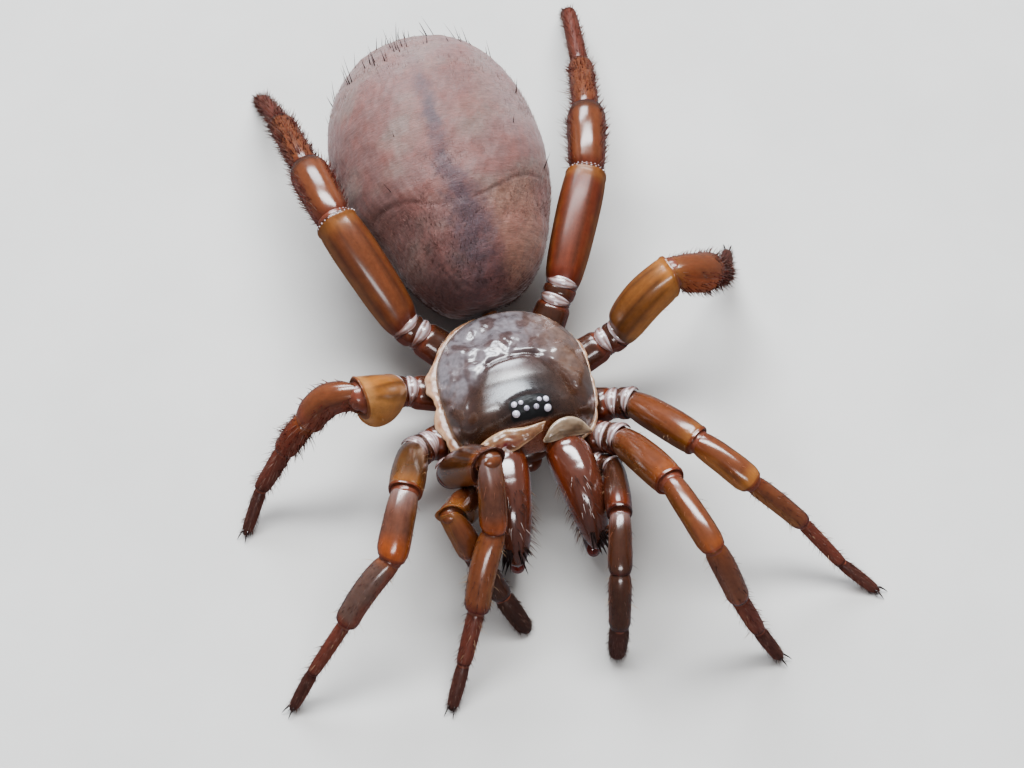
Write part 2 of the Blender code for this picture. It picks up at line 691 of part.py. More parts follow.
# Move everything so that the origin lies on the floor under the middle of the model.
lows = [min((made.matrix_world @ vert.co)[axis] for made in spider.objects for vert in made.data.vertices)
        for axis in range(2)]
highs = [max((made.matrix_world @ vert.co)[axis] for made in spider.objects for vert in made.data.vertices)
         for axis in range(2)]
shift = Vector((-(lows[0] + highs[0]) / 2.0, -(lows[1] + highs[1]) / 2.0, 0.0))
for made_object in spider.objects:
    for corner in made_object.data.vertices:
        corner.co = corner.co + shift
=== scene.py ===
import math

import bpy
import numpy as np
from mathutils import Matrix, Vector


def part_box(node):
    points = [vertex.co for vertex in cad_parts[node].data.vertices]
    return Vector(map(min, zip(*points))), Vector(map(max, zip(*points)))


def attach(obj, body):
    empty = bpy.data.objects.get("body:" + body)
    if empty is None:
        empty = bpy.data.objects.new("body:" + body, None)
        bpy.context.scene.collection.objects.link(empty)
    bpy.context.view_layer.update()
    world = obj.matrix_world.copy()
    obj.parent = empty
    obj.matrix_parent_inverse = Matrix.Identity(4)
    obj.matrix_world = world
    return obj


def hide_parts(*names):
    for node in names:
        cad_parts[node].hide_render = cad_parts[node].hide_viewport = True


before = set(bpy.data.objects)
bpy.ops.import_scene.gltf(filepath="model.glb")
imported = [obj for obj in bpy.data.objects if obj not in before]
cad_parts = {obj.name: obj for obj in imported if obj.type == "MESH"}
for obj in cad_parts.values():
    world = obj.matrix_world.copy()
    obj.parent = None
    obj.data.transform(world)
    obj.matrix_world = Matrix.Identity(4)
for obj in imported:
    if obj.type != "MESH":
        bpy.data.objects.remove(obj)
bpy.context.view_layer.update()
print("stage: frame loaded,", len(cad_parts), "solids")

mm = 0.001

# Shapes are worked out in millimetres in the body's own frame: the origin is on the floor under the
# rear of the head shield, -Y is ahead and +X is the spider's left. This is where that origin lies.
shieldLow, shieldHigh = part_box("carapace")
bodyOrigin = np.array([(shieldLow.x + shieldHigh.x) / 2 - 0.05 * mm,
                       (shieldLow.y + shieldHigh.y) / 2 + 5.0 * mm, 0.0])


# Small sums used everywhere

def unit(vectors):
    return vectors / np.maximum(np.linalg.norm(vectors, axis=-1, keepdims=True), 1e-12)


def rise(low, high, value):  # 0 below low, 1 above high, smooth between them
    step = np.clip((value - low) / (high - low), 0.0, 1.0)
    return step * step * (3.0 - 2.0 * step)


def bump(centre, width, value):  # a bell of height 1
    return np.exp(-((value - centre) / width) ** 2)


def shade(red, green, blue):  # a screen colour, 0 to 255, as light
    colour = np.array([red, green, blue], float) / 255.0
    return np.where(colour <= 0.04045, colour / 12.92, ((colour + 0.055) / 1.055) ** 2.4)


def mixed(low, high, share):  # two colours or vectors, mixed point by point
    share = np.asarray(share, float)[..., None]
    return low * (1.0 - share) + high * share


def joined(*rows):  # rows of values, spread over each other, as the coordinates of points
    return np.stack(np.broadcast_arrays(*rows), -1)


def fullTurn(count):  # the turns of the points of a ring
    return 2 * math.pi * np.arange(count) / count


def aim(heading, pitch):  # a direction from its turn round Z and its rise, in degrees
    turn, lift = math.radians(heading), math.radians(pitch)
    return np.array([math.cos(turn) * math.cos(lift), math.sin(turn) * math.cos(lift), math.sin(lift)])


def crossways(way):  # two directions square to a path: a level one, and one that stands on both
    across = unit(np.cross([0, 0, 1.0], way))
    return across, np.cross(way, across)


# Rings round a spine: a point lies at spine + (across cos turn + up tall sin turn) times the size there
def ringsRound(spine, across, up, turn, size, tall=1.0):
    across, up = np.broadcast_to(across, spine.shape), np.broadcast_to(up, spine.shape)
    return (spine[:, None] + across[:, None] * (np.cos(turn) * size)[..., None]
            + up[:, None] * (np.sin(turn) * size * tall)[..., None])


# A smooth line through knots: a cubic between neighbours, with the slopes of the line on both sides
def through(knots, values, place):
    knots, values = np.asarray(knots, float), np.asarray(values, float)
    place = np.clip(place, knots[0], knots[-1])
    slopes = np.gradient(values, knots, axis=0)
    left = np.clip(np.searchsorted(knots, place, side="right") - 1, 0, len(knots) - 2)
    step = knots[left + 1] - knots[left]
    share = (place - knots[left]) / step
    if values.ndim > 1:
        step, share = step[..., None], share[..., None]
    return (values[left] * (1 + 2 * share) * (1 - share) ** 2
            + slopes[left] * step * share * (1 - share) ** 2
            + values[left + 1] * share ** 2 * (3 - 2 * share)
            + slopes[left + 1] * step * share ** 2 * (share - 1))


# Soft unevenness: six sine waves to an octave, in random directions, about one wave to each size.
# The sum runs from about -1 to 1.
def waves(points, size, seed, octaves=2):
    draw = np.random.default_rng(seed)
    total = np.zeros(points.shape[:-1])
    for octave in range(octaves):
        for _ in range(6):
            way = unit(draw.normal(size=3))
            pace = 2 * math.pi / size * 2 ** octave * draw.uniform(0.7, 1.4)
            total += np.sin(points @ way * pace + draw.uniform(0, 2 * math.pi)) * 0.5 ** octave
    return total / 3.2


# The faces of a grid of points: each place with the next in its row and the two beside them in the next row
def gridQuads(rows, columns, closedRows=False, closedColumns=True):
    row = np.arange(rows if closedRows else rows - 1)[:, None]
    place = np.arange(columns if closedColumns else columns - 1)
    after, nextRow = (place + 1) % columns, (row + 1) % rows
    return joined(row * columns + place, row * columns + after,
                  nextRow * columns + after, nextRow * columns + place).reshape(-1, 4)


class Shape:  # a mesh collected from arrays
    def __init__(self):
        self.parts = []
        self.count = 0

    # Points with their faces, and for every point a tint, a dullness, its place along the grain and,
    # on hair, its place in the baked picture
    def add(self, points, quads, triangles, tint, dull=0.25, grain=None, patch=None):
        points = points.reshape(-1, 3)
        size = len(points)
        self.parts.append({
            "points": points,
            "quads": np.asarray(quads, np.int64).reshape(-1, 4) + self.count,
            "triangles": np.asarray(triangles, np.int64).reshape(-1, 3) + self.count,
            "tint": tint.reshape(-1, 3),
            "dull": np.broadcast_to(np.ravel(dull), (size,)),
            "grain": points if grain is None else grain.reshape(-1, 3),
            "patch": np.zeros((size, 2)) if patch is None else patch.reshape(-1, 2)})
        self.count += size

    # A grid of closed rings with a point at each end
    def addRings(self, rings, poleStart, poleEnd, tint, dull=0.25, grain=None):
        rows, around = rings.shape[:2]
        size = rows * around
        ring, after = np.arange(around), (np.arange(around) + 1) % around
        first = joined(size, after, ring)
        last = joined(size + 1, ring + size - around, after + size - around)

        def withPoles(values, *width):
            values = np.broadcast_to(values, (rows, around, *width))
            ends = np.stack([values[0].mean(0), values[-1].mean(0)])
            return np.concatenate([values.reshape(size, *width), ends])

        points = np.concatenate([rings.reshape(-1, 3), [poleStart, poleEnd]])
        self.add(points, gridQuads(rows, around), np.concatenate([first, last]), withPoles(tint, 3),
                 withPoles(dull), None if grain is None else withPoles(grain, 3))

    def toPiece(self, name, finish, slot, replaced=(), baked=False):
        join = {key: np.concatenate([part[key] for part in self.parts]) for key in self.parts[0]}
        join["tint"] = np.hstack([join["tint"], np.ones((self.count, 1))])
        quads, triangles = join["quads"], join["triangles"]
        corners = np.concatenate([quads.ravel(), triangles.ravel()]).astype(np.int32)
        starts = np.concatenate([np.arange(len(quads)) * 4, len(quads) * 4 + np.arange(len(triangles)) * 3])
        mesh = bpy.data.meshes.new(name)
        mesh.vertices.add(self.count)
        mesh.vertices.foreach_set("co", (join["points"] * mm + bodyOrigin).astype(np.float32).ravel())
        mesh.loops.add(len(corners))
        mesh.loops.foreach_set("vertex_index", corners)
        mesh.polygons.add(len(starts))
        mesh.polygons.foreach_set("loop_start", starts.astype(np.int32))
        mesh.polygons.foreach_set("use_smooth", np.ones(len(starts), bool))
        mesh.update(calc_edges=True)
        for key, kind, field in (("tint", "FLOAT_COLOR", "color"), ("dull", "FLOAT", "value"),
                                 ("grain", "FLOAT_VECTOR", "vector")):
            layer = mesh.attributes.new(key, kind, "POINT")
            layer.data.foreach_set(field, join[key].astype(np.float32).ravel())
        if baked:
            places = mesh.uv_layers.new(name="OFBake")
            places.data.foreach_set("uv", join["patch"][corners].astype(np.float32).ravel())
        piece = bpy.data.objects.new(name, mesh)
        bpy.context.scene.collection.objects.link(piece)
        mesh.materials.append(finish)
        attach(piece, "root")
        if replaced:
            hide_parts(*replaced)


hairMeasures = {"taper": 0.8, "lowest": 0.03, "dull": 0.45, "patchSize": 0.0015}


# Hairs: three-sided tapering spikes. A point at share s of a hair lies at root + way s + bend s squared.
def addHairs(shape, roots, ways, bends, lengths, widths, tints, patches, bits=3):
    count, size = len(roots), bits * 3 + 1
    if count == 0:
        return
    share = np.linspace(0.0, 1.0, bits + 1)[:-1]
    ways = unit(ways)
    spot = roots[:, None] + (ways[:, None] * share[None, :, None]
                             + bends[:, None] * share[None, :, None] ** 2) * lengths[:, None, None]
    first = unit(np.cross(ways, np.where(np.abs(ways[:, 2:3]) > 0.9, [[1.0, 0, 0]], [[0, 0, 1.0]])))
    second = np.cross(ways, first)
    turn = fullTurn(3)
    ring = first[:, None] * np.cos(turn)[None, :, None] + second[:, None] * np.sin(turn)[None, :, None]
    thick = widths[:, None] * (1 - share[None]) ** hairMeasures["taper"]
    sides = spot[:, :, None] + ring[:, None] * thick[:, :, None, None]
    tips = roots + (ways + bends) * lengths[:, None]
    points = np.concatenate([sides.reshape(count, -1, 3), tips[:, None]], 1)
    points[..., 2] = np.maximum(points[..., 2], hairMeasures["lowest"])  # none goes through the floor
    quads = gridQuads(bits, 3)
    triangles = [[2, 1, 0]] + [[bits * 3 - 3 + k, bits * 3 - 3 + (k + 1) % 3, bits * 3] for k in range(3)]
    step = (np.arange(count) * size)[:, None, None]
    ringPlace = np.concatenate([joined(np.cos(turn), np.sin(turn)) * (1 - 0.85 * s) for s in share]
                               + [np.zeros((1, 2))]) * hairMeasures["patchSize"]
    shape.add(points, quads + step, np.array(triangles) + step, np.repeat(tints[:, None], size, 1),
              hairMeasures["dull"], None, patches[:, None] + ringPlace)


def patchPlaces(turn, share):  # where hairs round a limb find their tint in the baked picture
    return joined(0.02 + 0.96 * (turn % (2 * math.pi)) / (2 * math.pi), 0.02 + 0.96 * share)


class Wire:  # a socket's output that can stand in a sum, which adds its nodes
    def __init__(self, finish, socket):
        self.finish, self.socket = finish, socket

    def sum(self, operation, *values):
        return self.finish.node("ShaderNodeMath", {"operation": operation}, dict(enumerate(values)))

    def __add__(self, other):
        return self.sum("ADD", self, other)

    def __mul__(self, other):
        return self.sum("MULTIPLY", self, other)

    def __sub__(self, other):
        return self.sum("SUBTRACT", self, other)

    def __rsub__(self, other):
        return self.sum("SUBTRACT", other, self)

    __radd__ = __add__
    __rmul__ = __mul__


class Finish:  # one material, with its fixed values set on the shader's own sockets
    def __init__(self, name, **fixed):
        self.material = bpy.data.materials.new(name)
        self.material.use_nodes = True
        self.tree = self.material.node_tree
        self.shader = self.tree.nodes["Principled BSDF"]
        for key, value in fixed.items():
            socket = self.shader.inputs[key.replace("_", " ")]
            socket.default_value = (*value, 1.0) if socket.type == "RGBA" else value

    # Any node: its settings are set first, then the values or links of its sockets
    def node(self, kind, settings, sockets, output=0):
        made = self.tree.nodes.new(kind)
        for key, value in settings.items():
            setattr(made, key, value)
        for key, value in sockets.items():
            self.plug(value, made.inputs[key])
        return Wire(self, made.outputs[output])

    def plug(self, value, socket):
        if isinstance(value, Wire):
            self.tree.links.new(value.socket, socket)
        else:
            socket.default_value = value

    def attribute(self, name, output):
        return self.node("ShaderNodeAttribute", {"attribute_name": name}, {}, output)

    def stretched(self, vector, stretch):
        return self.node("ShaderNodeVectorMath", {"operation": "MULTIPLY"}, {0: vector, 1: stretch})

    def noise(self, vector, scale, detail, rough):
        return self.node("ShaderNodeTexNoise", {},
                         {"Vector": vector, "Scale": scale, "Detail": detail, "Roughness": rough})

    def ranged(self, value, low, high, to0, to1):
        return self.node("ShaderNodeMapRange", {"interpolation_type": "SMOOTHSTEP"},
                         {"Value": value, "From Min": low, "From Max": high, "To Min": to0, "To Max": to1})

    def mix(self, share, first, second):
        return self.node("ShaderNodeMix", {"data_type": "RGBA"}, {0: share, 6: first, 7: second}, 2)

    def scaled(self, colour, factor):
        return self.node("ShaderNodeVectorMath", {"operation": "SCALE"}, {0: colour, "Scale": factor})

    def finish(self, colour, roughness, height=None, depth=0.0):
        self.plug(colour, self.shader.inputs["Base Color"])
        self.plug(roughness, self.shader.inputs["Roughness"])
        if height is not None:
            normal = self.node("ShaderNodeBump", {}, {"Height": height, "Distance": depth * mm})
            self.plug(normal, self.shader.inputs["Normal"])
        return self.material


# Horny skin: the painted tint, darker and lighter along the grain, glossy with a fine uneven surface.
# For each pattern: scale, detail and roughness of the noise, then its share of the relief.
hornPatterns = {"streaks": (1.0, 4.0, 0.6, 0.35), "flecks": (3.2, 5.0, 0.65, 0.4),
                "pits": (11.0, 2.0, 0.5, 0.22)}
hornStretch = (2.6, 2.6, 0.32)


def hornFinish(name, streak=0.35, fleck=0.25, rough=0.0, depth=0.012, coat=0.5, **fixed):
    horn = Finish(name, **fixed)
    tint, dull = horn.attribute("tint", "Color"), horn.attribute("dull", "Fac")
    grain = horn.attribute("grain", "Vector")
    streaks = horn.noise(horn.stretched(grain, hornStretch), *hornPatterns["streaks"][:3])
    flecks = horn.noise(grain, *hornPatterns["flecks"][:3])
    pits = horn.noise(grain, *hornPatterns["pits"][:3])
    light = 1.0 + (streaks - 0.5) * (2.4 * streak) + (flecks - 0.5) * (2.0 * fleck)
    colour = horn.scaled(tint, light)
    roughness = dull + (flecks - 0.5) * 0.16 + (pits - 0.5) * 0.06 + rough
    height = (streaks * hornPatterns["streaks"][3] + flecks * hornPatterns["flecks"][3]
              + pits * hornPatterns["pits"][3])
    horn.plug(horn.ranged(dull, 0.2, 0.46, coat, coat * 0.08), horn.shader.inputs["Coat Weight"])
    return horn.finish(colour, roughness, height, depth)


limbFinish = hornFinish("limb_horn", 0.3, 0.35, coat=0.8, Coat_Roughness=0.2, Coat_IOR=1.6, IOR=1.45,
                        Specular_IOR_Level=0.35, Subsurface_Weight=0.1,
                        Subsurface_Radius=(1.0, 0.35, 0.15), Subsurface_Scale=0.0005)
cheliceraFinish = hornFinish("chelicera_horn", 0.25, 0.25, coat=1.0, Coat_Roughness=0.17, Coat_IOR=1.65,
                             IOR=1.5, Subsurface_Weight=0.05, Subsurface_Radius=(1.0, 0.25, 0.08),
                             Subsurface_Scale=0.0005)
shieldFinish = hornFinish("shield_horn", 0.2, 0.5, depth=0.008, coat=1.0, Coat_Roughness=0.24, Coat_IOR=1.7,
                          IOR=1.5)
rimFinish = hornFinish("rim_membrane", 0.12, 0.25, coat=0.8, Coat_Roughness=0.22, IOR=1.42,
                       Subsurface_Weight=0.3, Subsurface_Radius=(1.0, 0.6, 0.4), Subsurface_Scale=0.0004)
pearlFinish = hornFinish("pearly_fold", 0.45, 0.3, coat=1.0, Coat_Roughness=0.2, IOR=1.5,
                         Subsurface_Weight=0.2, Subsurface_Radius=(1.0, 0.5, 0.3), Subsurface_Scale=0.0004)
fangFinish = hornFinish("fang_horn", 0.2, 0.15, coat=0.9, Coat_Roughness=0.05, IOR=1.55)
eyeFinish = hornFinish("eye_lens", 0.05, 0.1, depth=0.003, coat=1.0, Coat_Roughness=0.05, IOR=1.55)
hairFinish = hornFinish("bristle", 0.1, 0.15, 0.25, depth=0.002, coat=0.06, Coat_Roughness=0.3, IOR=1.45,
                        Specular_IOR_Level=0.25)

# The abdomen's skin: fine hair-like wrinkles across, mottling at two sizes, a soft sheen of pile
velvetStretches = {"lines": (1.6, 9.0, 1.6), "fine": (5.0, 22.0, 5.0)}
velvetWarmth = (0.2, 0.075, 0.06, 1.0)


def velvetFinish():
    velvet = Finish("abdomen_velvet", Sheen_Weight=0.35, Sheen_Roughness=0.45, Sheen_Tint=(0.85, 0.78, 0.78),
                    Coat_Weight=0.06, Coat_Roughness=0.45, IOR=1.42, Subsurface_Weight=0.12,
                    Subsurface_Radius=(1.0, 0.4, 0.3), Subsurface_Scale=0.0006)
    tint, dull = velvet.attribute("tint", "Color"), velvet.attribute("dull", "Fac")
    grain = velvet.attribute("grain", "Vector")
    blotch = velvet.noise(grain, 0.55, 4.0, 0.6)
    mottle = velvet.noise(grain, 2.4, 5.0, 0.65)
    lines = velvet.noise(velvet.stretched(grain, velvetStretches["lines"]), 1.0, 3.0, 0.6)
    fine = velvet.noise(velvet.stretched(grain, velvetStretches["fine"]), 1.0, 2.0, 0.6)
    warm = velvet.mix(velvet.ranged(blotch, 0.42, 0.7, 0.0, 0.35), tint, velvetWarmth)
    light = 1.0 + (mottle - 0.5) * 0.5 + (lines - 0.5) * 0.8 + (fine - 0.5) * 0.8
    return velvet.finish(velvet.scaled(warm, light), dull + (mottle - 0.5) * 0.15,
                         lines * 0.5 + fine * 0.35 + mottle * 0.3, 0.045)


abdomenFinish = velvetFinish()

# The limbs: measures shared with the solids
limbMeasures = {
    "lengths": {"leg_1": (7.4, 4.8, 4.95, 3.5, 3.05), "leg_2": (6.55, 4.0, 4.85, 3.85, 3.1),
                "leg_3": (5.75, 4.0, 2.85, 3.35, 3.3), "leg_4": (8.05, 4.9, 6.0, 6.0, 3.0),
                "palp": (5.3, 3.5, 3.65, 3.1)},
    "radii": {"leg_1": (1.08, 0.82, 0.7, 0.52, 0.42), "leg_2": (1.06, 0.95, 0.66, 0.42, 0.38),
              "leg_3": (1.28, 1.02, 0.76, 0.56, 0.4), "leg_4": (1.42, 1.28, 0.9, 0.6, 0.44),
              "palp": (0.8, 0.72, 0.7, 0.6)},
    "coxaStarts": {"palp": (1.5, -8.7, 2.5), "leg_1": (2.3, -7.9, 2.6), "leg_2": (2.4, -6.0, 2.6),
                   "leg_3": (2.4, -3.9, 2.6), "leg_4": (2.1, -2.0, 2.6)},
    "coxaRadii": {"palp": 0.85, "leg_1": 1.12, "leg_2": 1.12, "leg_3": 1.12, "leg_4": 1.2},
    "trochanter": 0.95,
    "around": 44,
    "ringsPerMm": 9.0,
}

# Where each femur starts, then the heading and pitch of every part; the last one reaches the floor.
limbStance = {
    "leg_1_left": ((5.45, -10.3, 5.1), (-77, 40), (-75, 1), (-48, -64), (-43, -62), (-45, 0)),
    "leg_1_right": ((-5.2, -10.0, 4.75), (-55, 63), (-99, -56), (-119, -39), (-121, -41), (-122, 0)),
    "leg_2_left": ((6.85, -7.75, 4.55), (-63, 30), (-50, -11), (-32, -43), (-47, -37), (-42, 0)),
    "leg_2_right": ((-7.0, -8.05, 4.65), (-106, 44), (-116, -24), (-148, -36), (-146, -38), (-146, 0)),
    "leg_3_left": ((7.4, -2.85, 4.7), (16, 53), (15, -37), (38, -58), (58, -54), (69, 0)),
    "leg_3_right": ((-7.4, -3.5, 4.5), (-134, 55), (174, -34), (-162, -51), (-154, -51), (-130, 0)),
    "leg_4_left": ((4.7, 1.4, 4.75), (64, 10), (76, 1), (79, -22), (83, -15), (82, 0)),
    "leg_4_right": ((-5.7, 0.8, 4.7), (116, 31), (101, -9), (100, -21), (99, -37), (99, 0)),
    "palp_left": ((4.65, -11.6, 4.0), (-101, 34), (-104, -17), (-102, -54), (-106, 0)),
    "palp_right": ((-4.05, -11.6, 3.85), (-128, 53), (-55, -61), (-56, -49), (-56, 0)),
}

# How full a part is along its length, against its largest half thickness
fullness = {
    "coxa": ((0, 0.16, 0.45, 0.8, 0.93, 1), (0.62, 0.86, 1.0, 0.98, 0.93, 0.8)),
    "trochanter": ((0, 0.2, 0.55, 0.85, 1), (0.86, 0.97, 1.0, 0.97, 0.88)),
    "femur": ((0, 0.05, 0.16, 0.5, 0.78, 0.9, 0.955, 0.975, 1),
              (0.74, 0.82, 0.9, 1.0, 1.01, 0.98, 0.96, 0.98, 0.93)),
    "patella": ((0, 0.06, 0.2, 0.5, 0.78, 0.92, 1), (0.8, 0.88, 0.95, 1.0, 1.03, 1.0, 0.9)),
    "tibia": ((0, 0.05, 0.16, 0.42, 0.8, 0.94, 1), (0.84, 0.92, 0.98, 1.0, 0.96, 0.94, 0.86)),
    "metatarsus": ((0, 0.06, 0.25, 0.6, 0.9, 1), (0.9, 0.97, 1.0, 0.97, 0.9, 0.82)),
    "tarsus": ((0, 0.1, 0.4, 0.75, 0.92, 1), (0.88, 0.97, 1.0, 0.92, 0.76, 0.5)),
}

# How tall a part's section is, how much its back (crown) and its belly (keel) swell midway, and how its
# middle shifts: up by the arch, and any way by the bow. What differs on one limb stands below.
partShapes = {
    "femur": {"tall": 1.04, "crown": 0.1, "arch": 0.1, "squared": 2.35},
    "patella": {"crown": 0.14, "arch": 0.1},
    "tibia": {"crown": 0.08, "arch": 0.06},
}
limbShapes = {
    "leg_1_left_femur": {"scale": 0.92},
    "leg_1_left_patella": {"scale": 0.95},
    "leg_1_right_tibia": {"scale": 1.2, "bow": (-0.14, 0.0, 0.0)},
    "leg_2_left_femur": {"scale": 0.92},
    "leg_2_left_patella": {"scale": 0.9},
    "leg_2_left_tibia": {"scale": 0.92},
    "leg_2_right_tibia": {"scale": 1.16, "bow": (-0.14, 0.06, 0.0)},
    "leg_3_left_femur": {"crown": 0.12, "bow": (-0.26, -0.08, 0.2)},
    "leg_3_left_patella": {"scale": 1.16, "bow": (0.0, -0.2, 0.0)},
    "leg_3_right_femur": {"keel": 0.32, "bow": (0.2, -0.4, -0.1)},
    "leg_3_right_patella": {"scale": 0.97, "bow": (0.05, 0.5, 0.2)},
    "palp_left_femur": {"tall": 1.4},
    "palp_right_femur": {"scale": 1.16, "tall": 1.24, "keel": 0.08, "bow": (0.0, -0.15, -0.1)},
    "palp_right_patella": {"scale": 1.1},
}


# Each joint lies at the one before it + length times direction, and the last part slopes to the floor
def limbJoints(name):
    kind = name.rsplit("_", 1)[0]
    lengths = limbMeasures["lengths"][kind]
    places = [np.array(limbStance[name][0])]
    for length, (heading, pitch) in zip(lengths[:-1], limbStance[name][1:-1]):
        places.append(places[-1] + length * aim(heading, pitch))
    drop = math.degrees(math.asin(min(0.999, places[-1][2] / lengths[-1])))
    places.append(places[-1] + lengths[-1] * aim(limbStance[name][-1][0], -drop))
    return places


# How the ends of the tubes meet. The slope is the tangent of half a joint's bend.
jointMeasures = {
    "sharpSlope": 1.3, "leanLimit": 0.8,  # from this slope on, the lean stays under this many radii
    "reachBase": 0.5, "reachBySlope": 2.1, "reachLimit": 0.48,  # how far from its end a tube starts to lean
    "drawIn": 0.42, "drawSlope": 1.2, "drawPower": 1.5,  # how far the outside of a bend is drawn in
    "lips": ((0.955, -0.035), (0.86, 0.02), (0.78, 0.16)), "cup": 0.1,  # each lip ring's size and depth
    "fewestRings": 14, "lowest": 0.02,
}


# One horny tube of a limb. A point lies at start + way t + the section's offset, where the section is a
# rounded oval of the fullness at t, leaned near each end until it lies in the plane that halves the bend,
# and drawn in on the outside of a sharp bend.
class Tube:
    def __init__(self, part, start, end, radius, startNormal=None, endNormal=None, gapStart=(0.07, 0.07),
                 gapEnd=(0.07, 0.07), tall=1.0, crown=0.0, keel=0.0, arch=0.0, bow=(0, 0, 0), squared=2.15):
        self.part, self.start, self.end, self.radius = part, start, end, radius
        self.length = np.linalg.norm(end - start)
        self.way = (end - start) / self.length
        self.up = unit(np.array([0, 0, 1.0]) - self.way * self.way[2])
        self.side = np.cross(self.up, self.way)
        self.startNormal = self.way if startNormal is None else startNormal
        self.endNormal = self.way if endNormal is None else endNormal
        self.tall, self.crown, self.keel, self.squared = tall, crown, keel, squared
        self.bow = self.up * arch + np.array(bow)
        self.gapStart, self.gapEnd = gapStart, gapEnd  # each above and below

    def slope(self, normal):
        return math.tan(math.acos(min(1.0, abs(float(self.way @ normal)))))

    def isSharp(self, normal):
        return self.slope(normal) >= jointMeasures["sharpSlope"]

    def reach(self, normal):
        size = jointMeasures
        return min(size["reachLimit"] * self.length,
                   size["reachBase"] + size["reachBySlope"] * self.radius * self.slope(normal))

    # How far a point moves along the tube to lie in the plane that halves the bend
    def lean(self, offset, normal, outside):
        far = -(offset @ normal) / (self.way @ normal)
        if not self.isSharp(normal):
            return far
        limit = jointMeasures["leanLimit"] * self.radius
        return np.where(outside * far > 0, far / np.sqrt(1 + (far / limit) ** 2), far)

    # The offset made shorter on the outside of the bend
    def drawIn(self, offset, normal, near, outside):
        size, slope = jointMeasures, self.slope(normal)
        if slope < 0.05:
            return offset
        across = unit(normal - self.way * (self.way @ normal))
        outer = np.maximum(0.0, outside * (unit(offset) @ across))
        return offset * (1 - size["drawIn"] * min(1.0, slope / size["drawSlope"])
                         * near ** size["drawPower"] * outer ** size["drawPower"])[..., None]

    def at(self, share, turn):
        share, turn = np.broadcast_arrays(np.asarray(share, float), np.asarray(turn, float))
        along = share * self.length
        cosine, sine = np.cos(turn), np.sin(turn)
        square = (np.abs(cosine) ** self.squared + np.abs(sine) ** self.squared) ** (-1 / self.squared)
        full = through(*fullness[self.part], share) * self.radius * square
        midway = np.sin(math.pi * np.clip(share, 0, 1))
        height = self.tall * (1 + midway ** 0.8 * np.where(sine > 0, self.crown, self.keel))
        offset = self.side * (cosine * full * 0.98)[..., None] + self.up * (sine * full * height)[..., None]
        nearStart = 1 - rise(0, self.reach(self.startNormal), along)
        nearEnd = rise(self.length - self.reach(self.endNormal), self.length, along)
        offset = self.drawIn(offset, self.startNormal, nearStart, 1)
        offset = self.drawIn(offset, self.endNormal, nearEnd, -1)
        gapStart, gapEnd = [above * (1 + sine) / 2 + below * (1 - sine) / 2
                            for above, below in (self.gapStart, self.gapEnd)]
        shift = (nearStart * (self.lean(offset, self.startNormal, -1) + gapStart)
                 + nearEnd * (self.lean(offset, self.endNormal, 1) - gapEnd))
        centre = self.start + self.way * (along + shift)[..., None]
        place = centre + self.bow * midway[..., None] + offset
        place[..., 2] = np.maximum(place[..., 2], jointMeasures["lowest"])
        return place

    def outward(self, turn):
        return self.side * np.cos(turn)[..., None] + self.up * np.sin(turn)[..., None]


# The tube as a closed shell: its rings, a rounded lip at each end, and a shallow cup behind each lip
def addTube(shape, tube, tintAt):
    rings = max(jointMeasures["fewestRings"], int(tube.length * limbMeasures["ringsPerMm"]))
    share = (0.5 - 0.5 * np.cos(math.pi * np.linspace(0, 1, rings)))[:, None]
    turn = fullTurn(limbMeasures["around"])[None, :]
    outer = tube.at(share, turn)

    def lip(ring, inward):
        middle = ring.mean(0)
        return [middle + (ring - middle) * size + inward * depth for size, depth in jointMeasures["lips"]]

    startLip, endLip = lip(outer[0], tube.way), lip(outer[-1], -tube.way)
    grid = np.concatenate([startLip[::-1], outer, endLip])
    share = np.concatenate([np.zeros((3, 1)), share, np.ones((3, 1))])
    tint, dull = tintAt(*np.broadcast_arrays(share, turn))
    grain = joined(np.cos(turn) * tube.radius, np.sin(turn) * tube.radius, share * tube.length) + tube.start
    cup = tube.way * jointMeasures["cup"]
    shape.addRings(grid, startLip[2].mean(0) + cup, endLip[2].mean(0) - cup, tint, dull, grain)


sleeveMeasures = {"inset": 0.4, "rings": 22, "size": 0.82, "midSize": 0.14, "tall": 1.02}


# The soft skin in a joint: a ringed sleeve that bends from inside one tube to inside the next
def addSleeve(shape, before, after, tint, swell, folds, foldDepth, dull=0.3):
    size = sleeveMeasures
    share = np.linspace(0, 1, size["rings"])[:, None]
    first, last = before.end - before.way * size["inset"], after.start + after.way * size["inset"]
    knee = (before.end + after.start) / 2
    centre = (1 - share) ** 2 * first + 2 * share * (1 - share) * knee + share ** 2 * last
    way = unit(mixed(before.way, after.way, share[:, 0]))
    side = mixed(before.side, after.side, share[:, 0])
    side = unit(side - way * np.sum(side * way, -1, keepdims=True))
    radius = mixed(np.array([before.radius * fullness[before.part][1][-1]]),
                   np.array([after.radius * fullness[after.part][1][0]]), share[:, 0])
    radius = radius * swell * (1 - foldDepth / 2 + foldDepth / 2 * np.cos(2 * math.pi * folds * share))
    radius = radius * (size["size"] + size["midSize"] * np.sin(math.pi * share) ** 0.5)
    rings = ringsRound(centre, side, np.cross(way, side), fullTurn(limbMeasures["around"]), radius,
                       size["tall"])
    shape.addRings(rings, first, last, tint, dull)


# Half length and ridges of each fold, how thick it is and how far down the sides it goes, in degrees
foldMeasures = {"half": 0.38, "palpHalf": 0.26, "size": 0.93, "palpSize": 0.9, "ridges": 2,
                "ridgesExtra": {"leg_2_right": 4}, "ridgeHeight": 0.03, "thick": 0.16, "spread": 80,
                "rows": 50, "around": 26}


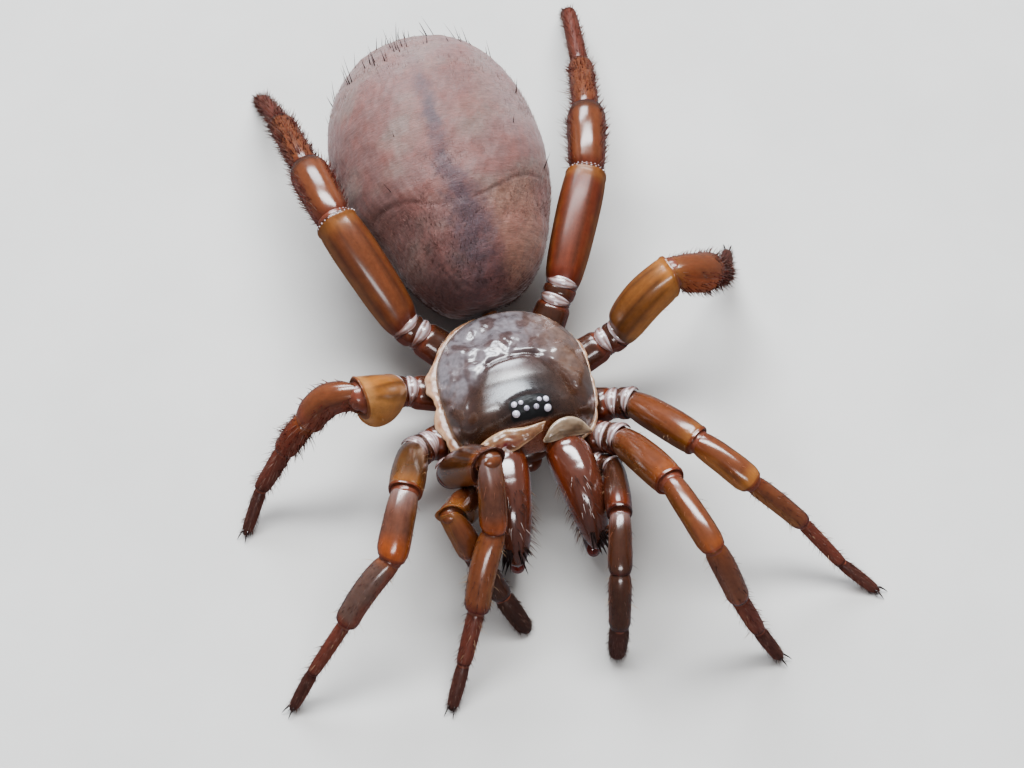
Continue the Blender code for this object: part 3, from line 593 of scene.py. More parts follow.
# A pearly crescent fold over a joint: a leaf that lies across the back of the limb. Along it the turn runs
# from side to side over the back, its width and height shrink to points, and fine ridges follow its length.
def addCrescent(shape, centre, way, radius, half, ridges):
    size, tints = foldMeasures, limbTints
    thick = size["thick"]
    up = unit(np.array([0, 0, 1.0]) - way * way[2])
    side = np.cross(up, way)
    lie = np.linspace(-1, 1, size["rows"])[:, None]
    turn = np.radians(size["spread"]) * lie
    taper = np.cos(lie * math.pi / 2 * 0.985) ** 1.05
    leafTurn = fullTurn(size["around"])[None, :]
    across, out = np.cos(leafTurn), -np.sin(leafTurn)
    axial = half * taper * across + 0.16 * (1 - np.cos(turn))
    lift = np.where(out > 0, thick * taper ** 0.6 * np.abs(out) ** 0.8, 0.25 * thick * out)
    lift = lift + size["ridgeHeight"] * taper * np.maximum(out, 0) * np.cos(math.pi * ridges * across)
    distance = radius + lift
    rings = (centre + way * axial[..., None] + side * (np.sin(turn) * distance)[..., None]
             + up * (np.cos(turn) * distance)[..., None])
    # The pearl tint, in bands along the ridges and strongest in the middle, is partly the fold's own pale
    # colour and partly a painted highlight.
    folds = 0.5 + 0.5 * np.cos(math.pi * ridges * across + 0.8)
    tint = mixed(tints["fold"], tints["pearlSheen"], 0.15 + 0.85 * folds)
    tint = mixed(tint, tints["fold"], rise(0.3, 0.85, np.abs(lie + 0.15)) * 0.8)
    tint = mixed(tint, tints["rust"], rise(0.8, 1.0, np.abs(lie)) * 0.8)
    grain = joined(across * 1.2, out * 0.4, turn * radius) + centre
    shape.addRings(rings, rings[0].mean(0), rings[-1].mean(0), tint, 0.2, grain)


# Colours of the limbs
limbTints = {
    "amber": shade(120, 66, 34), "gold": shade(122, 78, 42), "honey": shade(152, 100, 52),
    "straw": shade(170, 122, 76), "tawny": shade(104, 60, 38), "rust": shade(98, 47, 30),
    "brick": shade(110, 58, 42), "rufous": shade(94, 50, 39), "red": shade(84, 33, 23),
    "wine": shade(58, 25, 20), "umber": shade(66, 40, 29), "olive": shade(84, 58, 38),
    "plum": shade(72, 42, 35), "dusk": shade(56, 36, 31), "orange": shade(142, 72, 33),
    # the pearl tint is pale, partly the folds' own colour and partly a painted highlight
    "pearlSheen": shade(186, 172, 174), "cream": shade(190, 160, 130), "blush": shade(150, 96, 74),
    "haze": shade(128, 104, 94), "fold": shade(98, 62, 48), "smoke": shade(88, 66, 58),
    # a grey-violet that is partly a painted highlight
    "slate": shade(128, 106, 102),
}

# Turns, in radians, and widths of the dark lines along a femur, then how strong each is
femurStripes = ((1.12, 0.12, 1.0), (1.98, 0.13, 1.0), (0.5, 0.09, 0.7))
backLines = ((0.62, 0.07), (2.52, 0.07))


# A part's tint: belly, flank and back, its first and last stretch, and the dark rim at its end.
# Lengthwise stripes darken it, and a thin dark line parts the back from the flanks.
def limbTint(tube, names, baseReach, farReach, rimReach=0.14, stripes=0.0, line=0.0, dull=0.2):
    belly, flank, back, base, far, rim = [limbTints[name] for name in names.split()]

    def tintAt(share, turn):
        along, high = share * tube.length, np.sin(turn)
        uneven = waves(joined(np.cos(turn), high, along) + tube.start, 1.6, 67) * 0.14
        tint = mixed(belly, flank, rise(-0.8, -0.1, high))
        tint = mixed(tint, back, rise(0.15, 0.85, high + uneven))
        if stripes:
            lines = sum(strong * bump(place, width, turn) for place, width, strong in femurStripes)
            lines = lines * rise(0.3, 1.4, along) * (1 - rise(tube.length - 0.9, tube.length - 0.2, along))
            tint = mixed(tint, limbTints["umber"], np.clip(lines * stripes, 0, 1))
        if line:
            lines = sum(bump(place, width, turn) for place, width in backLines)
            tint = mixed(tint, limbTints["wine"], lines * line * rise(0.2, 0.9, along))
        tint = mixed(tint, base, (1 - rise(0, baseReach, along)) * 0.75)
        tint = mixed(tint, far, rise(tube.length - farReach, tube.length - 0.3 * farReach, along) * 0.85)
        rimStart = tube.length - rimReach
        tint = mixed(tint, rim, rise(rimStart - 0.05, rimStart + 0.03, along) * 0.85)
        lower = 0.26 * (1 - rise(-0.2, 0.6, high))
        return tint, dull + 0.06 * uneven + lower

    return tintAt


# Belly, flank, back, base, far end and rim of each part: on one limb, on the front or the rear legs,
# or on all of them
limbLooks = {
    "coxa": "orange rust umber umber rust rust",
    "trochanter": "orange rust umber rust rust wine",
    "front_femur": "amber gold umber rust amber wine",
    "front_patella": "amber gold tawny rust amber rust",
    "front_tibia": "amber brick tawny rust brick red",
    "front_metatarsus": "brick brick rufous rust rufous wine",
    "rear_femur": "amber gold tawny red gold wine",
    "rear_patella": "rust brick tawny red umber wine",
    "rear_tibia": "rust brick tawny red umber red",
    "rear_metatarsus": "brick rufous rufous rust rufous wine",
    "tarsus": "rufous rufous plum wine plum dusk",
    "leg_1_left_femur": "amber gold tawny umber amber rust",
    "leg_1_left_tibia": "brick tawny tawny amber brick wine",
    # On the right patellae of legs 1 and 2 and on the left palp's patella the slate base is partly a painted
    # highlight.
    "leg_1_right_patella": "amber gold fold slate orange rust",
    "leg_1_right_tibia": "amber gold tawny tawny rust red",
    "leg_2_left_femur": "gold gold tawny umber gold rust",
    "leg_2_left_patella": "gold honey tawny rust honey rust",
    "leg_2_left_tibia": "gold gold tawny rust rust red",
    "leg_2_right_femur": "gold gold olive olive gold rust",
    "leg_2_right_patella": "amber gold fold slate orange rust",
    "leg_2_right_tibia": "brick brick smoke amber rust red",
    "leg_3_left_femur": "honey honey gold olive honey tawny",
    "leg_3_left_patella": "orange orange tawny gold rust wine",
    "leg_3_right_femur": "honey straw honey tawny straw tawny",
    "leg_3_right_patella": "rust brick tawny umber brick amber",
    "leg_3_right_tibia": "brick brick rust amber rust red",
    "leg_4_left_femur": "amber gold rust red gold wine",
    "palp_left_femur": "rust rust umber umber rust wine",
    "palp_left_patella": "rust tawny umber slate umber wine",
    "palp_left_tibia": "umber tawny umber umber umber wine",
    "palp_left_tarsus": "umber umber plum umber dusk dusk",
    "palp_right_femur": "gold gold tawny olive gold gold",
    "palp_right_patella": "gold gold tawny gold rust rust",
    "palp_right_tibia": "rust umber umber rust umber wine",
    "palp_right_tarsus": "umber umber dusk umber dusk dusk",
}
# How far the tints of a part's base and far end reach, and how dull the part is
tintReaches = {"leg_1_right_patella": (1.6, 1.9), "leg_2_right_patella": (1.6, 1.9),
               "femur": (1.2, 1.2), "patella": (1.0, 1.0), "tibia": (0.7, 0.7), "rest": (0.4, 0.4)}
limbDullness = {"leg_4_left_femur": 0.4, "rear_femur": 0.32, "rear_tibia": 0.28,
                "metatarsus": 0.36, "tarsus": 0.44, "rest": 0.2}
coxaReach = (0.9, 0.5)

# Layers of hair on each part: how many to a square millimetre, the stretches of turn they stand in, in
# degrees from the side over the back, their length, thickness and lean along the limb, and their colour.
# The extra layers also say from which to which share of the part they stand.
allRound = ((0, 360),)
hairLooks = {
    "front_femur": [(0.9, allRound, 0.36, 0.012, 0.8, "cream")],
    "front_patella": [(1.6, ((-60, 240),), 0.4, 0.012, 0.8, "blush"),
                      (1.4, ((-40, 15),), 0.5, 0.016, 0.6, "wine")],
    "front_tibia": [(1.2, allRound, 0.34, 0.01, 1.1, "haze"),
                    (1.4, ((-50, 20), (160, 230)), 0.65, 0.016, 0.4, "cream"),
                    (5.0, allRound, 0.36, 0.018, 1.0, "wine")],
    "front_metatarsus": [(9.0, allRound, 0.34, 0.01, 1.1, "haze"),
                         (12.0, allRound, 0.36, 0.016, 1.0, "rufous"),
                         (3.0, ((-50, 230),), 0.5, 0.018, 0.5, "wine"),
                         (1.2, ((-40, 220),), 0.55, 0.016, 0.5, "cream")],
    "front_tarsus": [(12.0, allRound, 0.3, 0.01, 1.1, "haze"), (20.0, allRound, 0.32, 0.016, 1.1, "plum")],
    "rear_femur": [(0.7, ((180, 360),), 0.4, 0.014, 0.8, "cream")],
    "rear_patella": [(11.0, ((-80, 50), (130, 260)), 0.5, 0.026, 0.8, "red"),
                     (3.0, ((-70, 50), (130, 250)), 0.6, 0.012, 0.6, "haze")],
    "rear_tibia": [(14.0, allRound, 0.5, 0.024, 0.9, "red"), (5.0, allRound, 0.66, 0.012, 0.7, "haze")],
    "rear_metatarsus": [(14.0, allRound, 0.46, 0.022, 0.9, "rufous"),
                        (8.0, allRound, 0.55, 0.012, 0.8, "haze")],
    "rear_tarsus": [(12.0, allRound, 0.34, 0.012, 0.9, "haze"), (18.0, allRound, 0.36, 0.018, 1.0, "plum")],
}
bothSides = ((-30, 30), (150, 210))
hairExtras = {
    "leg_3_left_patella": (14.0, ((-80, 260),), 0.5, 0.03, 0.6, "plum", (0.72, 1.0)),
    "leg_3_left_tibia": (15.0, ((-90, 270),), 0.75, 0.03, 0.35, "dusk", (0.0, 0.5)),
    "leg_3_right_tibia": (4.0, bothSides, 0.85, 0.028, 0.3, "dusk", (0.0, 1.0)),
    "leg_3_right_metatarsus": (4.0, bothSides, 0.8, 0.026, 0.4, "dusk", (0.0, 1.0)),
    "leg_4_left_patella": (4.0, ((-60, 30),), 0.9, 0.018, 0.25, "haze", (0.1, 1.0)),
    "leg_4_left_tibia": (3.0, ((-60, 30),), 0.9, 0.02, 0.25, "haze", (0.0, 0.6)),
    "leg_4_right_tibia": (8.0, allRound, 0.6, 0.026, 0.7, "wine", (0.0, 1.0)),
    "leg_4_right_metatarsus": (8.0, allRound, 0.62, 0.024, 0.7, "wine", (0.0, 1.0)),
}

segmentNames = {"leg": ("femur", "patella", "tibia", "metatarsus", "tarsus"),
                "palp": ("femur", "patella", "tibia", "tarsus")}


def lookUp(table, name, part):  # what the table says of this limb's part, of its family's, or of any
    family = "rear" if name.startswith(("leg_3", "leg_4")) else "front"
    for key in (name + "_" + part, family + "_" + part, part):
        if key in table:
            return table[key]
    return table.get("rest")


# The coxa points away from the body, the trochanter follows, and then each part runs from joint to joint.
# The plane between two parts halves their bend.
def limbTubes(name):
    kind = name.rsplit("_", 1)[0]
    joints = limbJoints(name)
    start = np.array(limbMeasures["coxaStarts"][kind]) * [1 if name.endswith("left") else -1, 1, 1]
    outward = unit(joints[0] - start)
    neck = joints[0] - outward * limbMeasures["trochanter"]
    coxaRadius = limbMeasures["coxaRadii"][kind]
    ways = [outward] + [unit(b - a) for a, b in zip(joints, joints[1:])]
    halves = [unit(a + b) for a, b in zip(ways, ways[1:])] + [None]
    tubes = [Tube("coxa", start - outward * 0.3, neck - outward * 0.22, coxaRadius, gapEnd=(0.12, 0.0),
                  tall=0.97),
             Tube("trochanter", neck, joints[0] + outward * 0.1, coxaRadius * 0.9, None, halves[0],
                  gapStart=(0.16, 0.0), gapEnd=(0.26, 0.05))]
    parts = segmentNames["palp" if kind == "palp" else "leg"]
    for index, part in enumerate(parts):
        end = joints[index + 1] - (ways[index + 1] * 0.08 if part == "tarsus" else 0)
        form = {**partShapes.get(part, {}), **limbShapes.get(name + "_" + part, {})}
        radius = limbMeasures["radii"][kind][index] * form.pop("scale", 1.0)
        tubes.append(Tube(part, joints[index], end, radius, halves[index], halves[index + 1],
                          gapStart=(0.14, 0.02) if part == "femur" else (0.03, 0.08),
                          gapEnd=(0.03, 0.2 if part in ("femur", "patella") else 0.12), **form))
    return tubes


# Hairs strewn evenly over the skin of a part, each leaned along the limb from the way out of the skin
def addLimbHair(shape, tube, look, draw, patchRow):
    density, turnRanges, length, width, lean, tintName, *stretch = look
    shareLow, shareHigh = stretch[0] if stretch else (0.03, 0.98)
    for turnLow, turnHigh in turnRanges:
        area = 2 * math.pi * tube.radius * tube.length * (turnHigh - turnLow) / 360 * (shareHigh - shareLow)
        count = int(area * density)
        share = draw.uniform(shareLow, shareHigh, count)
        turn = np.radians(draw.uniform(turnLow, turnHigh, count))
        outward = tube.outward(turn)
        roots = tube.at(share, turn) - outward * 0.04
        leans = lean * draw.uniform(0.6, 1.4, count)[:, None]
        ways = outward + tube.way * leans + draw.normal(0, 0.14, (count, 3))
        bends = tube.way * 0.22 - outward * 0.12 + draw.normal(0, 0.05, (count, 3))
        tints = limbTints[tintName] * draw.uniform(0.6, 1.35, count)[:, None]
        addHairs(shape, roots, ways, bends, length * draw.uniform(0.55, 1.35, count),
                 width * draw.uniform(0.75, 1.25, count), tints,
                 patchPlaces(turn, (patchRow + 0.9 * share) / 6))


# Each row of beads: after which tube of the limb, at which share of it, how many, from and to which turn,
# and their size
beadRows = ((2, 0.985, 13, (10, 170), 0.07), (3, 0.03, 9, (25, 150), 0.06))


# A row of pale beads where the hair sockets of a joint's edge catch the light, their pale tint a painted
# glint: small balls round the tube
def addBeads(shape, tube, share, count, turns, size, tint):
    turn = np.radians(np.linspace(*turns, count))
    roots = tube.at(np.full(count, share), turn)
    climb = np.linspace(-0.45 * math.pi, 0.45 * math.pi, 5)[:, None]
    spin = fullTurn(8)
    for place in range(count):
        scale = size * (0.7 + 0.3 * math.sin(place * 2.4) ** 2)
        ball = joined(np.cos(climb) * np.cos(spin), np.cos(climb) * np.sin(spin), np.sin(climb)) * scale
        shape.addRings(roots[place] + ball, roots[place] - [0, 0, scale], roots[place] + [0, 0, scale],
                       tint, 0.12)


clawMeasures = {"apart": 0.12, "setBack": 0.3, "lift": 0.16, "length": 0.8, "splay": 0.16, "arch": 0.3,
                "droop": 0.62, "radius": 0.07, "tipRadius": 0.006, "lowest": 0.05, "rings": 14, "around": 10}


# Two claws at the end of a foot: each is a cone along a spine that runs ahead and outwards, and whose
# height is arch t - droop t squared
def makeClaws(name, tube):
    size, shape = clawMeasures, Shape()
    ahead = unit(np.array([tube.way[0], tube.way[1], 0.0]))
    right, top = np.cross(ahead, [0, 0, 1.0]), np.array([0, 0, 1.0])
    for side in (-1, 1):
        share = np.linspace(0, 1, size["rings"])[:, None]
        root = tube.end + right * size["apart"] * side - tube.way * size["setBack"] + top * size["lift"]
        spine = root + (ahead * (size["length"] * share) + right * (size["splay"] * side * share)
                        + top * (size["arch"] * share - size["droop"] * share ** 2))
        spine[:, 2] = np.maximum(spine[:, 2], size["lowest"])
        way = unit(np.gradient(spine, axis=0))
        across = unit(np.cross(way, [0, 0, 1.0]))
        radius = size["radius"] * (1 - share) ** 0.7 + size["tipRadius"]
        turn = -fullTurn(size["around"])  # backwards, because across x up points against the way
        rings = ringsRound(spine, across, np.cross(across, way), turn, radius)
        shape.addRings(rings, spine[0], spine[-1] + way[-1] * 0.01, limbTints["dusk"] * 0.5, 0.15)
    shape.toPiece(name + "_claws", fangFinish, "limb")


# The tubes with their tints and hair, the soft skin and the folds of the joints, and the claws
def makeLimb(name, seed):
    kind = name.rsplit("_", 1)[0]
    tubes = limbTubes(name)
    skin, coat, folds = Shape(), Shape(), Shape()
    draw = np.random.default_rng(seed)
    for index, tube in enumerate(tubes[1:]):
        part = tube.part
        stripes = 0.6 if kind in ("leg_3", "leg_4") and part == "femur" else 0.0
        line = 0.5 if part in ("femur", "patella") else 0.0
        addTube(skin, tube, limbTint(tube, lookUp(limbLooks, name, part), *lookUp(tintReaches, name, part),
                                     stripes=stripes, line=line, dull=lookUp(limbDullness, name, part)))
        for look in lookUp(hairLooks, name, part) or []:
            addLimbHair(coat, tube, look, draw, index)
        if name + "_" + part in hairExtras:
            addLimbHair(coat, tube, hairExtras[name + "_" + part], draw, index)
    for before, after in zip(tubes[:2], tubes[1:]):
        addSleeve(skin, before, after, limbTints["rust"], 1.1, 5, 0.05, 0.2)
    size = foldMeasures
    radius = tubes[1].radius * size["palpSize" if kind == "palp" else "size"]
    half = size["palpHalf" if kind == "palp" else "half"]
    ridges = size["ridgesExtra"].get(name, size["ridges"])
    addCrescent(folds, (tubes[0].end + tubes[1].start) / 2, tubes[1].way, radius, half, ridges)
    addCrescent(folds, tubes[2].start, unit(tubes[1].way + tubes[2].way), radius, half, ridges)
    for before, after in zip(tubes[2:], tubes[3:]):
        sharp = before.isSharp(before.endNormal)
        tint = limbTints["tawny"] if sharp else mixed(limbTints["red"], limbTints["blush"], 0.3)
        addSleeve(skin, before, after, tint, 0.98 if sharp else 1.02, 3, 0.04)
    if kind == "leg_4":
        for index, *look in beadRows:
            addBeads(folds, tubes[index], *look, limbTints["pearlSheen"])
    label = "tarsus" if kind == "palp" else "foot"
    nodes = [name + "_" + part for part in ("femur", "patella", "tibia", label)]
    skin.toPiece(name + "_skin", limbFinish, "limb", nodes)
    folds.toPiece(name + "_folds", pearlFinish, "limb")
    coat.toPiece(name + "_hair", hairFinish, "limb", baked=True)
    if kind != "palp":
        makeClaws(name, tubes[-1])
    return tubes


allTubes = {}
for order, limbName in enumerate(limbStance):
    allTubes[limbName] = makeLimb(limbName, 40 + order)
print("stage: limbs")

# The underside: breastbone, lip and the roots of the limbs
undersideTints = {"bone": shade(120, 70, 40), "edge": shade(84, 44, 26), "lip": shade(96, 48, 28)}
undersideMeasures = {
    "boneMiddle": (0, -4.9, 3.1), "boneHalves": (3.3, 4.7, 1.2), "boneBlunt": 0.8, "boneWaves": 0.04,
    "lipMiddle": (0, -9.0, 2.5), "lipHalves": (0.85, 0.95, 0.6), "rows": 40, "around": 72,
    "dents": ((1.55, -6.9), (1.75, -4.9), (1.2, -2.9)), "dentDepth": 0.13,
}


# The breastbone and the lip are flat ovals: middle + half size times (cos turn cos climb, sin turn cos
# climb, sin climb). The breastbone is blunter, waves eight times round its rim and has three pairs of dents.
def makeUnderside():
    shape, size, tints = Shape(), undersideMeasures, undersideTints
    for tubes in allTubes.values():
        addTube(shape, tubes[0], limbTint(tubes[0], limbLooks["coxa"], *coxaReach))
    turn = fullTurn(size["around"])[None, :]
    climb = np.linspace(-0.495 * math.pi, 0.495 * math.pi, size["rows"])[:, None]
    middle, (wide, long, high) = size["boneMiddle"], size["boneHalves"]
    ring = np.cos(climb) ** size["boneBlunt"]
    points = joined(wide * np.cos(turn) * ring * (1 + size["boneWaves"] * np.cos(8 * turn)),
                    middle[1] + long * np.sin(turn) * ring, middle[2] + high * np.sin(climb))
    dents = sum(np.exp(-((np.abs(points[..., 0]) - across) ** 2 + (points[..., 1] - along) ** 2) / 0.12)
                for across, along in size["dents"])
    dents = dents * (1 - rise(2.6, 3.1, points[..., 2]))
    points[..., 2] += size["dentDepth"] * dents
    tint = mixed(tints["bone"], tints["edge"], rise(2.2, 3.2, points[..., 2]))
    tint = mixed(tint, limbTints["cream"], np.clip(dents, 0, 1) * 0.5)
    shape.addRings(points, np.subtract(middle, (0, 0, high)), np.add(middle, (0, 0, high)), tint, 0.3)
    middle, (wide, long, high) = size["lipMiddle"], size["lipHalves"]
    lip = joined(wide * np.cos(turn) * np.cos(climb), middle[1] + long * np.sin(turn) * np.cos(climb),
                 middle[2] + high * np.sin(climb))
    shape.addRings(lip, np.subtract(middle, (0, 0, high)), np.add(middle, (0, 0, high)), tints["lip"], 0.3)
    shape.toPiece("underside_plates", limbFinish, "underside", ["underside"])


makeUnderside()
print("stage: underside")

abdomenMeasures = {
    "halfWidth": 6.7, "halfHeight": 5.5, "front": 7.0, "rear": 12.9, "middle": (-1.0, 7.4, 6.25),
    "broadening": 0.36, "bluntness": 3.4, "turn": 2.9, "tip": 6.5, "hollow": 0.9,
    "rows": 240, "around": 270, "creaseAlong": -1.65, "creaseBow": 1.35, "creaseDepth": 0.06,
    "swells": ((0.10, 6.0, 5, 1), (0.03, 1.6, 7, 2), (0.012, 0.55, 9, 2)),  # height, size, seed and octaves
}
# The dark line along the back: places along, and there its middle, its half width and its strength
abdomenStripe = {
    "middle": ((-7, -5.2, -3.7, -1.5, -0.15, 0.9, 2.6, 4.4, 8),
               (0.26, 0.15, 0.34, 0.2, 0, -0.5, -0.4, -0.33, -0.26)),
    "half": ((-7, -4, -1, 1.5, 3.5, 6, 9), (1.0, 1.3, 1.05, 0.62, 0.5, 0.5, 0.4)),
    "strength": ((-7, -5.5, -2, 1, 4, 6.5, 8.5, 10), (0.2, 0.6, 0.85, 0.8, 0.9, 0.7, 0.3, 0.0)),
}
# Two of these tints paint light: the pale one laid on the top is painted sheen, and the dark one is partly
# the front's own dark colour and partly painted shade.
abdomenTints = {
    "mauve": shade(108, 80, 76), "grey": shade(112, 94, 88), "rose": shade(108, 64, 57),
    "stripe": shade(66, 49, 56), "darkAndShade": shade(66, 40, 38), "tan": shade(124, 90, 74),
    "belly": shade(110, 82, 70), "paintedSheen": shade(142, 120, 118),
}


# From a direction on the unit ball to the skin: the ring at each place along is widened to a blunt front,
# scaled to the half sizes, broadened behind, pressed in where the leg lies, and turned into place.
# The second result is the place before the last two steps.
def abdomenPlace(across, upward, along):
    size = abdomenMeasures
    ring = np.sqrt(np.maximum(1e-12, 1 - along ** 2))
    blunt = np.maximum(0.0, 1 - np.abs(along) ** size["bluntness"]) ** (1 / size["bluntness"])
    fit = np.where(along < 0, blunt / ring, 1.0)
    swell = 1 + size["broadening"] * along
    own = np.stack([across * fit * swell * size["halfWidth"],
                    along * np.where(along > 0, size["rear"], size["front"]),
                    upward * fit * swell * size["halfHeight"]], -1)
    x, y, z = np.moveaxis(own, -1, 0)
    x = x + size["hollow"] * rise(0.2, 0.8, -across * fit) * bump(-2.4, 3.6, y)
    tip, turn = math.radians(size["tip"]), math.radians(size["turn"])
    y, z = y * math.cos(tip) - z * math.sin(tip), y * math.sin(tip) + z * math.cos(tip)
    x, y = x * math.cos(turn) - y * math.sin(turn), x * math.sin(turn) + y * math.cos(turn)
    return np.stack([x, y, z], -1) + np.array(size["middle"]), own


# The way out of the skin: square to two short steps over it
def abdomenNormals(across, upward, along, step=0.004):
    def onBall(vectors):
        vectors = unit(vectors)
        return abdomenPlace(vectors[..., 0], vectors[..., 2], vectors[..., 1])[0]
    ball = np.stack([across, along, upward], -1)
    helper = np.where(np.abs(ball[..., 1:2]) > 0.9, [1.0, 0, 0], [0, 1.0, 0])
    first = unit(np.cross(ball, helper))
    second = np.cross(ball, first)
    return unit(np.cross(onBall(ball + first * step) - onBall(ball - first * step),
                         onBall(ball + second * step) - onBall(ball - second * step)))


# The skin: the places of a ball's rings, moved along their normals by soft swells and the crease in front.
# Its tints lie over each other: mauve and grey, rose, painted sheen, a dark front that is partly painted
# shade, tan side, belly, stripe, and painted shade in the crease.
def makeAbdomen():
    size, tints = abdomenMeasures, abdomenTints
    climb = np.linspace(-0.5 * math.pi + 0.012, 0.5 * math.pi - 0.012, size["rows"])[:, None]
    turn = fullTurn(size["around"])[None, :]
    across, upward, along = np.broadcast_arrays(  # turned this way round, so that the faces look out
        np.cos(turn) * np.cos(climb), -np.sin(turn) * np.cos(climb), np.sin(climb))
    points, own = abdomenPlace(across, upward, along)
    normals = abdomenNormals(across, upward, along)
    x, y, z = np.moveaxis(own, -1, 0)
    side, top = np.abs(x), rise(-0.5, 1.8, z)
    bowed = y - size["creaseAlong"] - size["creaseBow"] * rise(0.4, 5.4, side)
    crease = np.exp(-(bowed / 0.13) ** 2) * rise(0.35, 1.3, side) * (1 - rise(5.6, 6.4, side)) * top
    crease = crease * (0.75 + 0.25 * waves(own, 2.0, 3))
    swell = sum(height * waves(own, *look) for height, *look in size["swells"])
    behind = rise(0.0, 1.2, bowed) * top
    points = points + normals * (swell - size["creaseDepth"] * crease + 0.05 * behind - 0.15)[..., None]
    middle = through(*abdomenStripe["middle"], y) + 0.05 * waves(own * [0, 1, 0], 1.5, 11)
    half = through(*abdomenStripe["half"], y) + 0.07 * waves(own, 1.2, 13)
    stripe = (1 - rise(0.2, 1.6, np.abs(x - middle) / half + 0.25 * waves(own, 0.7, 15))) * top
    stripe = stripe * through(*abdomenStripe["strength"], y)
    mottle = waves(own, 2.6, 17, 3)
    rose = rise(0.05, 0.75, mottle + 0.5 * bump(4.4, 2.2, np.hypot(x - 2.4, y - 0.8)) - 0.1)
    beside = bump(0, 2.6, x + 0.2) * bump(1.0, 5.0, y) * 0.5
    tint = mixed(tints["mauve"], tints["grey"], rise(-0.3, 0.8, waves(own, 4.2, 19, 2) + 0.25 * x / 6))
    for name, share in (
            ("rose", np.clip(rose * 0.3 + beside * 0.8, 0, 1) * (1 - rise(7.5, 10, y))),
            # painted sheen on the top, toward the left side and toward the rear
            ("paintedSheen", 0.55 * rise(2.0, 5.5, x) * rise(0.5, 4.0, y) * top),
            ("paintedSheen", 0.45 * rise(6.5, 11.0, y) * top),
            # the dark front: partly its own colour, partly painted shade where it faces forward and down
            ("darkAndShade", (1 - rise(-6.6, -1.2, y)) * 0.9 * (1 - rise(0.8, 3.6, x))),
            ("darkAndShade", (1 - rise(-6.8, -4.2, y)) * 0.8),
            ("tan", (1 - rise(-1.4, -0.3, bowed - 0.9)) * rise(1.3, 2.4, x)
             * (1 - rise(4.6, 5.8, x)) * top * 0.6),
            ("belly", (1 - rise(-2.5, 0.5, z)) * 0.7),
            ("stripe", np.clip(stripe, 0, 1))):
        tint = mixed(tint, tints[name], share)
    # painted shade in the crease
    tint = mixed(tint, tints["darkAndShade"] * 0.8, np.clip(crease, 0, 1) * 0.6)
    shape = Shape()
    shape.addRings(points, points[0].mean(0), points[-1].mean(0), tint, 0.55, own)
    shape.toPiece("abdomen_skin", abdomenFinish, "abdomen", ["abdomen"])


def rearwardOn(outs, lift):  # the way to the rear, laid flat on the skin
    way = np.array([0.0, 1.0, lift])
    return unit(way - outs * (outs @ way)[:, None])


def ballPatches(across, upward, along):  # where the abdomen's hairs find their tint in the baked picture
    return np.stack([0.5 + 0.46 * np.arctan2(across, upward) / math.pi, 0.5 + 0.46 * along], -1)


pileLooks = {"count": 19000, "length": 0.3, "width": 0.008, "sunk": 0.17, "light": shade(150, 122, 114),
             "deep": shade(98, 70, 66), "front": shade(72, 44, 40)}


# The short soft pile, strewn evenly over the ball of directions and combed to the rear
def makePile():
    look, draw = pileLooks, np.random.default_rng(71)
    count = look["count"]
    across, along, upward = unit(draw.normal(size=(count, 3))).T
    roots, own = abdomenPlace(across, upward, along)
    outs = abdomenNormals(across, upward, along)
    rearward = rearwardOn(outs, 0.12)
    lengths = look["length"] * draw.uniform(0.6, 1.5, count)
    ways = rearward * draw.uniform(0.7, 1.3, count)[:, None] + outs * draw.uniform(0.25, 0.6, count)[:, None]
    ways = ways + draw.normal(0, 0.12, (count, 3))
    tint = mixed(look["light"], look["deep"], draw.uniform(0, 1, count))
    # toward the front the pile darkens to the front tint: partly its own darker colour, partly painted shade
    # as on the skin beneath
    tint = mixed(tint, look["front"], 0.7 * (1 - rise(-6.5, -1.5, own[:, 1])))
    shape = Shape()
    addHairs(shape, roots - outs * look["sunk"], ways, rearward * 0.1 - outs * 0.1, lengths,
             look["width"] * draw.uniform(0.7, 1.4, count), tint, ballPatches(across, upward, along), 2)
    shape.toPiece("abdomen_pile", hairFinish, "abdomen", baked=True)


bristleLooks = {"count": 64, "rearShare": 0.8, "rear": (0.72, 0.99), "rest": (-0.3, 0.75), "spread": 55,
                "length": (0.8, 2.2), "width": 0.04, "sunk": 0.2, "tint": shade(34, 24, 24),
                "lowTop": (10.5, 12.3)}  # between these heights they are shorter, to stay in the solids' box


# The standing bristles, most of them behind, each a curved spike that leans to the rear
def makeAbdomenBristles():
    look, draw = bristleLooks, np.random.default_rng(83)
    count = look["count"]
    along = np.where(draw.uniform(size=count) < look["rearShare"], draw.uniform(*look["rear"], count),
                     draw.uniform(*look["rest"], count))
    turn = np.radians(90 + draw.normal(0, look["spread"], count))
    ring = np.sqrt(1 - along ** 2)
    across, upward = np.cos(turn) * ring, np.sin(turn) * ring
    roots = abdomenPlace(across, upward, along)[0]
    outs = abdomenNormals(across, upward, along)
    rearward = rearwardOn(outs, 0.1)
    high = rise(*look["lowTop"], roots[:, 2])
    lengths = draw.uniform(*look["length"], count) * (0.6 + 0.4 * rise(0.4, 0.9, along)) * (1 - 0.65 * high)
    ways = outs * draw.uniform(0.5, 0.9, count)[:, None] + rearward * 0.9 + draw.normal(0, 0.1, (count, 3))
    ways[:, 2] -= 0.5 * high
    shape = Shape()
    addHairs(shape, roots - outs * look["sunk"], ways, rearward * 0.12, lengths,
             look["width"] * draw.uniform(0.7, 1.2, count), np.tile(look["tint"], (count, 1)),
             ballPatches(across, upward, along), 5)
    shape.toPiece("abdomen_bristles", hairFinish, "abdomen", baked=True)


makeAbdomen()
makePile()
makeAbdomenBristles()
print("stage: abdomen")

